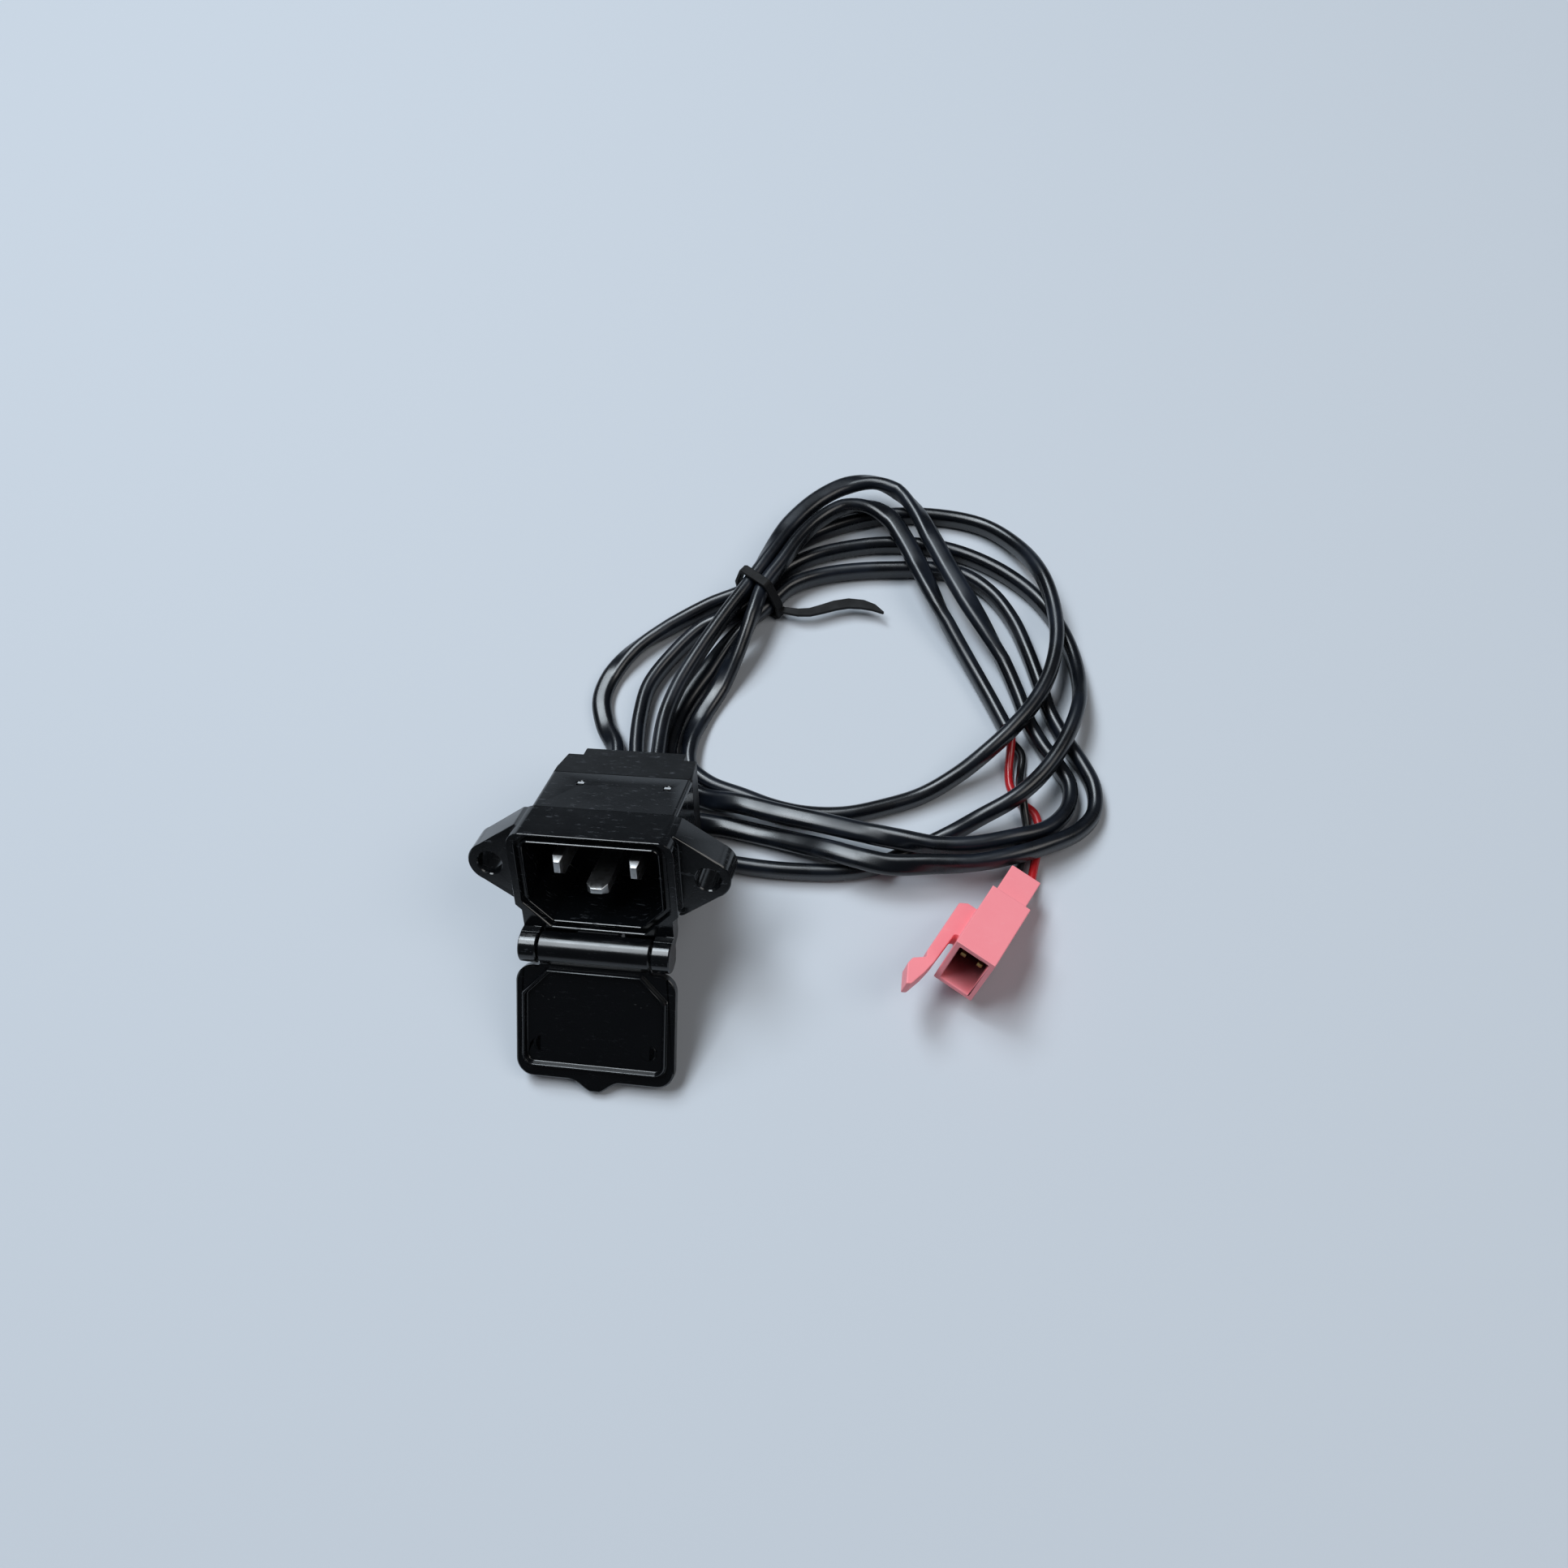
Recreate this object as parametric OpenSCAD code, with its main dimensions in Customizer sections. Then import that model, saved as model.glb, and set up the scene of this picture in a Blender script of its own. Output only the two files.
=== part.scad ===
// Charging port socket: three-pin inlet with a flip cover, a flat lead and a two-way plug.
// All sizes are in mm. The socket is drawn in its own frame and then seated on the table.

/* [Inlet] */

// Width of the opening that the mating plug enters
cavity_w = 24.2; // [20:0.2:30]
// Height of that opening
cavity_h = 16.2; // [14:0.2:20]
// Size of the two cut lower corners of the opening
cavity_cut = 4.0; // [2:0.1:6]
// Depth from the rim to the cavity's floor
cavity_depth = 15.0; // [12:0.5:20]
// Thickness of the cavity's floor
floor_t = 2.2; // [1.5:0.1:4]
// Rim thickness at the two sides
rim_side = 2.9; // [2.4:0.1:4]
// Rim thickness at top and bottom
rim_top = 1.9; // [1.8:0.1:3]
// Depth of the collar, from the rim to the back of the ears
collar_depth = 9.4; // [8:0.2:14]
// Width of the seal groove in the rim
groove_w = 1.0; // [0.8:0.05:1.2]
// Depth of the seal groove
groove_d = 0.9; // [0.6:0.1:1.5]
// Side wall of the rear body
side_wall = 1.3; // [1:0.1:2]

/* [Screw ears] */

// Distance between the two screw holes
hole_pitch = 40; // [36:0.5:48]
// Diameter of a screw hole
hole_d = 4.6; // [3:0.1:5]
// Ring of material round a screw hole
ear_ring = 1.8; // [1.2:0.1:4]
// Height of the screw holes over the inlet's middle
hole_rise = 1.0; // [-2:0.1:2]
// Distance of the ears behind the rim
ear_set = 3.2; // [1:0.1:5]

/* [Pins] */

// Distance between the two upright blades
pin_pitch = 14; // [12:0.2:16]
// Height of the blades over the inlet's middle, and of the centre blade under it
pin_rise = 2.0; // [1:0.1:3]
// Width of a blade
blade_w = 4.0; // [3:0.1:5]
// Thickness of a blade
blade_t = 2.0; // [1.5:0.1:2.5]
// Distance of the upright blades' tips behind the rim
pin_set = 1.9; // [1:0.1:4]
// Distance of the centre blade's tip behind the rim
earth_set = 1.2; // [0.8:0.1:4]
// Diameter of a wire core in its insulation
core_d = 1.7; // [1.4:0.1:2]

/* [Rear cap] */

// Depth of the housing's skirt behind the collar
skirt_len = 12.6; // [10:0.2:18]
// Length of the rear cap
cap_len = 7.3; // [6:0.1:12]
// Thickness of the cap's rear wall
cap_wall = 1.6; // [1.2:0.1:2]
// Width of the neck that the lead leaves through
neck_w = 19.8; // [14:0.2:22]
// Height of the neck
neck_h = 15; // [12:0.5:15.5]
// Height of the neck's middle over the lead
neck_rise = 1.5; // [0:0.1:1.6]
// Length of the neck
neck_len = 3.1; // [2:0.1:8]
// Offset of the lead from the middle of the neck
lead_shift = 2.0; // [0:0.5:4]

/* [Flip cover] */

// Width of the cover
cover_w = 29.6; // [28:0.2:34]
// Thickness of the cover's plate
plate_t = 2.2; // [1.6:0.1:3]
// Gap between the closed plate and the rim
plate_gap = 0.9; // [0.6:0.1:1.4]
// Width of the sealing tongue
tongue_w = 0.6; // [0.3:0.05:0.6]
// Depth of the closed tongue in the groove
tongue_in = 0.2; // [0.1:0.05:0.3]
// Height of the cover from the hinge axis to its free edge
cover_reach = 24.6; // [23.6:0.1:28]
// Finger tab beyond the free edge
tab_out = 2.1; // [1:0.1:4]
// Angle that the cover opens to
cover_open = 160; // [150:1:165]

/* [Hinge] */

// Diameter of the hinge knuckles
barrel_d = 5.8; // [5:0.1:6]
// Distance of the hinge axis in front of the rim
hinge_front = 2.0; // [1.9:0.1:2.4]
// Distance of the hinge axis under the collar
hinge_drop = 2.8; // [2.7:0.1:3.2]
// Length of the hinge
hinge_w = 27.8; // [26:0.2:29]
// Length of one end knuckle
end_knuckle = 3.3; // [3:0.1:4.5]
// Diameter of the hinge pin
pin_d = 2.0; // [1.5:0.1:2.5]

/* [Lead] */

// Width of the flat lead, which lies mostly on its edge
lead_w = 4.2; // [3.6:0.1:4.2]
// Thickness of the flat lead
lead_t = 2.9; // [2.4:0.1:3]
// Height of the strand that the socket's rear edge rests on
rear_lift = 4.3; // [4.3:0.1:5]

/* [Plug] */

// Length of the plug's body
plug_len = 15; // [12:0.2:18]
// Width of the plug's body
plug_w = 8.0; // [7:0.1:9]
// Height of the plug's body
plug_h = 13; // [11:0.1:14]
// Wall of the plug's open front
plug_wall = 1.1; // [0.8:0.1:1.4]
// Depth of the plug's open front
plug_open = 9; // [6:0.5:10]
// Length of the plug's narrow neck
plug_neck = 9; // [6:0.5:9.5]
// Height of that neck
plug_neck_h = 7.2; // [5:0.1:8]
// Distance between the plug's two wires
wire_pitch = 3.4; // [2.8:0.1:4]

/* [Cable tie] */

// Width of the strap
tie_w = 2.0; // [2:0.1:4]
// Thickness of the strap
tie_t = 0.8; // [0.7:0.1:1]

/* [Hidden] */

$fn = 64;
eps = 0.01;

// Running clearance round the hinge pin, on the radius
hinge_play = 0.05;
// Seat of the pin in the fixed knuckles, on the radius
hinge_seat = 0.01;
// Side gap between neighbouring knuckles
knuckle_gap = 0.3;
// Fit between parts that are pushed together
push_fit = 0.05;
// Gap between a swinging edge and a fixed one
swing_gap = 0.35;

// Inlet
collar_w = cavity_w + 2 * rim_side;
collar_h = cavity_h + 2 * rim_top;
collar_r = 2.6;
collar_cut = cavity_cut + 0.6;
groove_in = (rim_top - groove_w) / 2;
skirt_w = cavity_w + 2 * side_wall;
skirt_top = cavity_h / 2 + 1.6;
skirt_low = -cavity_h / 2 - 1.0;
floor_back = cavity_depth + floor_t;
seam_y = collar_depth + skirt_len;
cap_end = seam_y + cap_len;
neck_end = cap_end + neck_len;
ear_r = hole_d / 2 + ear_ring;
hole_x = hole_pitch / 2;

// Hinge and cover, drawn closed
hinge_y = -hinge_front;
hinge_z = -collar_h / 2 - hinge_drop;
plate_in = -plate_gap;
plate_low = hinge_z + barrel_d / 2 + swing_gap;
plate_top = hinge_z + cover_reach;
plate_r = 3.3;
bridge_w = hinge_w - 2 * end_knuckle - 2 * knuckle_gap;
tongue_off = groove_in + (groove_w - tongue_w) / 2;
// Rib that stops the open cover under the collar
stop_gap = 0.1;
stop_w = 8;
stop_t = 1.3;
stop_reach = 4.2;
// Apron behind the hinge, at both sides of that rib
apron_x = stop_w / 2 + 0.3;
apron_t = 1.4;

// Snap windows of the rear cap, from the left: middle of each
window_x = [-6.8, 9.6];
window_y = floor_back + 1.1;
window_w = 1.4;
window_l = 1.3;
finger_w = 4.2;

// Turns a closed-cover point, given from the hinge axis, to the open cover's place
function swung(d) = [
    hinge_y + d[0] * cos(cover_open) - d[1] * sin(cover_open),
    hinge_z + d[0] * sin(cover_open) + d[1] * cos(cover_open)
];

// The open cover's tab stands on the table; the cap's lower rear edge rests on the lead
tab_outer = swung([plate_in - plate_t - hinge_y, cover_reach + tab_out]);
tab_inner = swung([plate_in - hinge_y, cover_reach + tab_out]);
rest_rear = [cap_end, skirt_low];
rest_span = rest_rear - tab_outer;
seat_tilt = atan2(rest_span[1], rest_span[0]) - asin(rear_lift / norm(rest_span));

// Heights and depths of a socket point once it is tilted
function tilted_y(p) = p[0] * cos(seat_tilt) + p[1] * sin(seat_tilt);
function tilted_z(p) = p[1] * cos(seat_tilt) - p[0] * sin(seat_tilt);
front_y = min(tilted_y(tab_outer), tilted_y(tab_inner));
back_y = tilted_y([neck_end, neck_rise + neck_h / 2]);
seat_y = -(front_y + back_y) / 2;
seat_z = -tilted_z(tab_outer);

// Places a socket point on the table
function seated_at(p) = [p[0], seat_y + tilted_y([p[1], p[2]]), seat_z + tilted_z([p[1], p[2]])];

// Strain relief and lead exit
relief_w = lead_t + 2.4;
relief_h = lead_w + 2.4;
relief_lip = 0.6;
lead_start = [lead_shift, neck_end + relief_lip, 0];
exit_at = seated_at(lead_start);
exit_dir = [0, cos(seat_tilt), -sin(seat_tilt)];

// Route of the lead on the table: x, y, z of its middle
lead_route = [
    exit_at,
    exit_at + 3.5 * exit_dir,
    [1.4, 36, 7.5], [1.2, 45, 7.2], [2.8, 53, 7.3], [6, 61.5, 7.5], [10, 70.5, 7.7],
    // first turn: waist, upper left strand
    [14.5, 79.9, 7.7], [17.2, 87, 7.7], [20.8, 95.4, 7.5], [26.4, 103, 7.2], [32.2, 107.2, 7],
    [38, 108.4, 6.8], [43.4, 106.2, 6.6], [48, 100.8, 6.6], [52, 93.5, 6.6], [56, 86, 6.6],
    [60.2, 78.6, 6.4], [64.4, 72.2, 5], [68.6, 65.6, 3], [72, 58.2, 2.1], [74.4, 51.8, 2.1],
    [77.4, 46.4, 2.1], [80.6, 42, 2.1], [83, 37.4, 2.3], [82.6, 32.2, 3], [79, 27.2, 4.4],
    [72.5, 23.9, 6.2], [64.4, 21.5, 6.6], [57.8, 21.1, 6.6], [51.6, 21.6, 6.6], [44.4, 22.6, 6.6],
    [36.2, 24, 6.6], [27.4, 25.6, 6.2], [19, 27.4, 5.7], [11.4, 29.4, 3], [5.9, 32.6, 2.1],
    [2.7, 37.4, 2.1], [1.8, 43.5, 2.1], [2.6, 50.6, 1.5], [6.6, 60, 1.5], [12, 69.4, 2.6],
    // second turn: waist, lower right strand
    [18.5, 77.2, 3.2], [22.4, 82.2, 3], [28.4, 85.6, 2.4], [36.5, 87.6, 2.1], [45.6, 88.4, 2.1],
    [52.7, 88.6, 2.1], [59.4, 87.2, 2.1], [65.4, 82.8, 2.1], [70.2, 76.1, 2.1], [73.6, 68.4, 2.1],
    [76.4, 60.6, 2.1], [78.6, 54.2, 2.1], [81.6, 48.4, 2.1], [85, 43.1, 2.1], [87.6, 37.6, 2.1],
    [87.7, 32, 2.4], [84.8, 27.4, 3.4], [78.9, 23.2, 5.2], [71.9, 19.8, 6.4], [65.2, 17.8, 6.7],
    [57.4, 16.9, 6.8], [50, 16.2, 6.8], [44, 17, 6.9], [38, 18.6, 6.1], [32, 20.4, 4.2],
    [24.5, 22.4, 2.4], [16, 23.8, 2.1], [8, 24.6, 2.1], [1.6, 26.8, 2.1], [-2.4, 30.8, 2.1],
    [-4.2, 36.4, 2.1], [-5.2, 42, 2.1], [-5.6, 48.6, 2.1], [-5, 55.4, 2.1], [-1.4, 63, 2.1],
    [4.2, 70.4, 2.4], [9.4, 73.4, 2.9], [13.1, 75.9, 3.2],
    // third turn: waist, lower middle strand
    [15.8, 79, 3.2], [19.3, 85, 3.1], [25.6, 90.4, 2.4], [34, 93.6, 2.1], [42.8, 95, 2.1],
    [54.6, 94.2, 2.1], [65.4, 89.8, 2.1], [74, 83.2, 2.1], [79.6, 75.6, 2.1], [82.9, 67.9, 2.1],
    [84.2, 60, 3.6], [83.8, 53, 6.2], [81.4, 45, 6.7], [77.2, 37.4, 6.6], [72.2, 32, 6.5],
    [66.3, 28.4, 5], [61, 25.6, 2.8], [56.4, 23, 2.1], [51.4, 20.2, 2.1], [46.4, 17.4, 2.1],
    [40, 15.9, 2.1], [33, 15.4, 2.1], [26, 15.4, 2.1], [18, 16, 2.1], [10, 17.2, 2.1],
    [2.6, 19.6, 2.1], [-3.2, 23.6, 2.1], [-6.8, 29, 2.1], [-8.2, 35, 2.1], [-9.6, 40.4, 2.1],
    [-12.8, 45.6, 1.5], [-14.8, 51.8, 1.5], [-13.8, 58, 1.5], [-9.8, 64.4, 2.1], [-2.9, 70.6, 2.3],
    [5, 76.2, 2.8],
    // fourth turn: waist, lower left strand
    [13.1, 80.8, 3.2], [16.2, 87.2, 3.2], [20.8, 92.6, 3], [28, 98.2, 2.2], [38.6, 102.4, 2.1],
    [50.8, 103.2, 2.1], [62.2, 100.8, 2.4], [70.1, 94.6, 3.6], [75.6, 85.4, 6.2], [78.4, 76.6, 6.6],
    [79.2, 69, 6.6], [78.1, 60.9, 6.6], [75.4, 54, 6.6], [71.3, 47.6, 6.6], [66.3, 42.1, 5.6],
    [61, 37.8, 3.6], [54.4, 33.6, 2.1], [47, 30.4, 2.1], [39.5, 28.2, 2.1], [32, 27.8, 2.1],
    [25.4, 28.8, 2.1], [19, 30.8, 2.1], [11.6, 33.2, 2.1], [7.1, 36.8, 2.1], [6, 42.2, 2.1],
    [7.2, 48.8, 1.5], [10.2, 56, 2], [13.4, 63.6, 5], [15.7, 70.6, 7.4],
    // last stretch: waist, upper right strand
    [17.1, 78.1, 7.7], [20.2, 84.6, 7.7], [23.6, 92, 7.5], [27.4, 97.4, 7.2], [32, 101, 7],
    [37.4, 101.6, 6.8], [42.2, 98.8, 6.7], [46, 93.2, 6.6], [49.4, 86.8, 6.6], [52.9, 79.8, 6.2],
    [56.8, 73, 4.6],
    [61.6, 65.2, 2.8], [66, 57.6, 2.1], [70, 50, 2.1]
];
// Roll of the lead from its edge to its flat side: number of a route point, angle
lead_roll = [
    [7, 0], [9, 90], [11, 90], [13, 0], [15, 90], [17, 90], [19, 0],
    [29, 0], [31, 90], [34, 90], [36, 0], [37, 0], [39, 90], [40, 90], [42, 0],
    [61, 0], [64, 90], [68, 90], [70, 0],
    [108, 0], [110, 90], [112, 90], [114, 0],
    [139, 0], [141, 90], [142, 90], [144, 0], [149, 0], [151, 90], [153, 90], [155, 0]
];
lead_end = lead_route[len(lead_route) - 1];
lead_end_dir = unit(lead_end - lead_route[len(lead_route) - 2]);

// Plug on the table: middle of its body's rear face, then roll, pitch and heading
plug_at = [70.8, 7.6, plug_h / 2 + 0.3];
plug_turn = [-11, -18, 246];
function turn_x(p, a) = [p[0], p[1] * cos(a) - p[2] * sin(a), p[1] * sin(a) + p[2] * cos(a)];
function turn_y(p, a) = [p[0] * cos(a) + p[2] * sin(a), p[1], p[2] * cos(a) - p[0] * sin(a)];
function turn_z(p, a) = [p[0] * cos(a) - p[1] * sin(a), p[0] * sin(a) + p[1] * cos(a), p[2]];
function plugged_at(p) =
    plug_at + turn_z(turn_y(turn_x(p, plug_turn[0]), plug_turn[1]), plug_turn[2]);
plug_dir = plugged_at([1, 0, 0]) - plug_at;
neck_inset = 0.9;

// Routes of the two free wires, which leave the lead one above the other
wire_off = [0, 0, 0.95];
red_from = lead_end + wire_off;
red_to = plugged_at([-plug_neck, wire_pitch / 2, 0]);
black_from = lead_end - wire_off;
black_to = plugged_at([-plug_neck, -wire_pitch / 2, 0]);
red_route = [
    red_from, red_from + 2.5 * lead_end_dir, [71.2, 44.8, 2.4], [71.1, 41, 1], [71.6, 37.4, 0.95],
    [73.4, 34.4, 0.95], [76.4, 32, 0.95], [77.6, 28.4, 0.95], [77.4, 24, 1.3], [76.9, 20.4, 2.6],
    red_to - 1.2 * plug_dir, red_to
];
black_route = [
    black_from, black_from + 2.5 * lead_end_dir, [73.4, 44.8, 1], [73.5, 41, 1], [73.4, 37.8, 2.2],
    [73.9, 34.8, 3], [74.5, 31.6, 2.4], [75.3, 28, 1], [75.1, 24, 1.3], [74.4, 20.8, 2.5],
    [73.9, 18.7, 3.4], black_to - 1.2 * plug_dir, black_to
];

// Cable tie round the waist of the bundle: three strands with two on top of them
tie_at = [15.7, 79];
tie_heading = 56;
tie_in_w = 3 * lead_t + 2;
tie_top_w = 2 * lead_t + 1.1;
tie_in_z = [tie_t, tie_t + 2 * lead_w + 0.8];
tie_knee = tie_t + lead_w - 0.4;

// Tail of the tie: x and y of its middle from the loop's side, and its half width
tie_tail = [
    [-0.3, 0.2, 0.6], [1.2, 1, 0.8], [3.2, 2, 0.9], [5.2, 3.6, 1], [6.8, 5.8, 1.1],
    [8.4, 8.2, 1.2], [10.4, 10.4, 1.2], [13, 12, 1.1], [15.4, 12.8, 0.8], [18, 13, 0.2]
];

// Sweep
function unit(v) = v / norm(v);
function way(r, i) = unit(r[min(i + 1, len(r) - 1)] - r[max(i - 1, 0)]);
function placed(r, i, q) =
    let (t = way(r, i), s = unit(cross([0, 0, 1], t)), u = cross(t, s))
    r[i] + q[0] * s + q[1] * u;
function rolled(q, a) = [q[0] * cos(a) - q[1] * sin(a), q[0] * sin(a) + q[1] * cos(a)];
function swept_points(r, sec) = [for (i = [0:len(r) - 1]) for (q = sec) placed(r, i, q)];
function swept_faces(n, m) = concat(
    [[for (k = [0:m - 1]) k]],
    [for (i = [0:n - 2]) for (k = [0:m - 1]) let (j = (k + 1) % m)
        for (face = [[i * m + k, (i + 1) * m + k, (i + 1) * m + j],
            [i * m + k, (i + 1) * m + j, i * m + j]]) face],
    [[for (k = [m - 1:-1:0]) (n - 1) * m + k]]
);
function upright_section(w, t) = [
    for (k = [0:11])
        [t / 2 * cos(k * 30 + 15), (k < 6 ? 1 : -1) * (w - t) / 2 + t / 2 * sin(k * 30 + 15)]
];
function round_section(d, m) = [for (k = [0:m - 1]) d / 2 * [cos(k * 360 / m), sin(k * 360 / m)]];

// Extrudes an x-z outline along +Y
module prism_y(from, length) {
    translate([0, from, 0])
        rotate([90, 0, 0])
            mirror([0, 0, 1])
                linear_extrude(length)
                    children();
}

// Extrudes a y-z outline along +X
module prism_x(from, length) {
    translate([from, 0, 0])
        rotate([90, 0, 90])
            linear_extrude(length)
                children();
}

// Round bar along +X at a y-z place
module bar_x(from, length, r, at) {
    translate([from, at[0], at[1]])
        rotate([0, 90, 0])
            cylinder(r = r, h = length);
}

// Inlet outline with rounded upper and cut lower corners, grown by a margin
module inlet_outline(w, h, cut, r, grow) {
    x = w / 2 + grow;
    z = h / 2 + grow;
    c = cut + grow * (2 - sqrt(2));
    q = r + grow;
    polygon([[-x, c - z], [c - x, -z], [x - c, -z], [x, c - z],
        [x, z - q], [x - q, z], [q - x, z], [-x, z - q]]);
    translate([x - q, z - q])
        circle(q);
    translate([q - x, z - q])
        circle(q);
}

module cavity_outline(grow) {
    inlet_outline(cavity_w, cavity_h, cavity_cut, 1.0, grow);
}

// Rectangle with four round corners between two corner points
module round_rect(low, high, r) {
    polygon([[low[0] + r, low[1]], [high[0] - r, low[1]], [high[0], low[1] + r],
        [high[0], high[1] - r], [high[0] - r, high[1]], [low[0] + r, high[1]],
        [low[0], high[1] - r], [low[0], low[1] + r]]);
    for (x = [low[0] + r, high[0] - r])
        for (z = [low[1] + r, high[1] - r])
            translate([x, z])
                circle(r);
}

// Upright oval
module oval(w, h) {
    square([w, h - w], center = true);
    translate([0, (h - w) / 2])
        circle(w / 2);
    translate([0, (w - h) / 2])
        circle(w / 2);
}

// Point where a line from p touches a circle
function touch(p, c, r, side) =
    let (v = p - c, a = atan2(v[1], v[0]) + side * acos(r / norm(v)))
    c + r * [cos(a), sin(a)];

module ear_outline() {
    c = [hole_x, hole_rise];
    top = [collar_w / 2 - 0.5, collar_h / 2 - 0.4];
    low = [collar_w / 2, -collar_h / 2 + collar_cut - 2];
    translate(c)
        circle(ear_r);
    // the edges aim just inside the tip's circle, so that line and arc meet at a clear angle
    r = ear_r - 0.06;
    polygon([[0, top[1]], top, touch(top, c, r, -1), c, touch(low, c, r, 1), low, [0, low[1]]]);
}

// Sets the socket on the table, nose up
module seated() {
    translate([0, seat_y, seat_z])
        rotate([-seat_tilt, 0, 0])
            children();
}

// Fixed end knuckle with the web that joins it to the collar
module end_knuckle_at(from) {
    bar_x(from, end_knuckle, barrel_d / 2, [hinge_y, hinge_z]);
    prism_x(from, end_knuckle)
        polygon([[hinge_y + 0.4, hinge_z], [2.6, hinge_z + 1.2], [3.4, hinge_z + 2.4],
            [3.4, -collar_h / 2 + collar_cut], [0, -collar_h / 2 + collar_cut],
            [0, -collar_h / 2 + 0.1], [hinge_y + 0.4, -collar_h / 2 + 0.1]]);
}

// Web behind the hinge that closes the view between barrel and collar
module hinge_apron(from) {
    translate([from, hinge_y + barrel_d / 2 + swing_gap, hinge_z - 0.4])
        cube([hinge_w / 2 - end_knuckle + 0.5 - from, apron_t, hinge_drop + 0.9]);
}

module skirt_outline(inset) {
    round_rect([-skirt_w / 2 + inset, skirt_low + inset], [skirt_w / 2 - inset, skirt_top - inset], 0.8);
}

module inlet_housing() {
    color("#1c1d1f")
        seated()
            difference() {
                union() {
                    prism_y(0, collar_depth)
                        inlet_outline(collar_w, collar_h, collar_cut, collar_r, 0);
                    prism_y(ear_set, collar_depth - ear_set)
                        ear_outline();
                    prism_y(ear_set, collar_depth - ear_set)
                        mirror([1, 0])
                            ear_outline();
                    prism_y(collar_depth - 1, skirt_len + 1)
                        skirt_outline(0);
                    end_knuckle_at(-hinge_w / 2);
                    end_knuckle_at(hinge_w / 2 - end_knuckle);
                    hinge_apron(apron_x);
                    mirror([1, 0, 0])
                        hinge_apron(apron_x);
                }
                // cavity, seal groove and wiring space
                prism_y(-1, cavity_depth + 1)
                    cavity_outline(0);
                prism_y(-1, groove_d + 1)
                    difference() {
                        cavity_outline(groove_in + groove_w);
                        cavity_outline(groove_in);
                    }
                prism_y(floor_back, seam_y - floor_back + 1)
                    square([cavity_w, cavity_h], center = true);
                // screw holes
                for (x = [-hole_x, hole_x])
                    translate([x, ear_set - 1, hole_rise])
                        rotate([-90, 0, 0])
                            cylinder(d = hole_d, h = collar_depth);
                // slots of the three blades
                for (x = [-pin_pitch / 2, pin_pitch / 2])
                    translate([x - blade_t / 2, cavity_depth - 1, pin_rise - blade_w / 2])
                        cube([blade_t, floor_t + 2, blade_w]);
                translate([-blade_w / 2, cavity_depth - 1, -pin_rise - blade_t / 2])
                    cube([blade_w, floor_t + 2, blade_t]);
                // snap windows
                for (x = window_x)
                    translate([x - window_w / 2, window_y - window_l / 2, cavity_h / 2 - 1])
                        cube([window_w, window_l, 4]);
                // pin bore, closed at the right end
                bar_x(-hinge_w / 2 - 1, hinge_w + 0.4, pin_d / 2 + hinge_seat, [hinge_y, hinge_z]);
            }
}

// Latch finger of the cap with its snap lug
module snap_finger(x) {
    top = cavity_h / 2 - push_fit;
    translate([x - finger_w / 2, floor_back + 0.2, top - 1.1])
        cube([finger_w, seam_y - floor_back + 1, 1.1]);
    prism_x(x - window_w / 2 + push_fit, window_w - 2 * push_fit)
        polygon([[window_y - window_l / 2 + push_fit, top - 0.5], [window_y - window_l / 2 + push_fit, top],
            [window_y, top + 1.5], [window_y + window_l / 2 - push_fit, top + 1.5],
            [window_y + window_l / 2 - push_fit, top - 0.5]]);
}

module rear_cap() {
    in_x = cavity_w / 2;
    in_z = cavity_h / 2;
    color("#1a1b1c")
        seated()
            difference() {
                union() {
                    intersection() {
                        translate([0, 0, -20])
                            linear_extrude(40)
                                polygon([[-skirt_w / 2, seam_y], [skirt_w / 2, seam_y],
                                    [skirt_w / 2 - 0.8, cap_end], [0.8 - skirt_w / 2, cap_end]]);
                        prism_x(-20, 40)
                            polygon([[seam_y, skirt_low], [cap_end, skirt_low],
                                [cap_end, skirt_top - 0.3], [seam_y, skirt_top]]);
                        prism_y(seam_y, cap_len)
                            skirt_outline(0);
                    }
                    // spigot inside the skirt
                    prism_y(seam_y - 1.4, 1.4 + eps)
                        difference() {
                            square(2 * [in_x - push_fit, in_z - push_fit], center = true);
                            square(2 * [in_x - 1.1, in_z - 1.1], center = true);
                        }
                    for (x = window_x)
                        snap_finger(x);
                    translate([-neck_w / 2, cap_end - eps, neck_rise - neck_h / 2])
                        cube([neck_w, neck_len + eps, neck_h]);
                }
                prism_y(seam_y - eps, cap_len - cap_wall + eps)
                    square(2 * [in_x - 1.1, in_z - 1.1], center = true);
                prism_y(cap_end - cap_wall - 1, cap_wall + neck_len + 2)
                    translate([lead_shift, 0])
                        oval(relief_w + 2 * push_fit, relief_h + 2 * push_fit);
            }
}

// Turns the cover about the hinge axis
module turned(angle) {
    translate([0, hinge_y, hinge_z])
        rotate([angle, 0, 0])
            translate([0, -hinge_y, -hinge_z])
                children();
}

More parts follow.
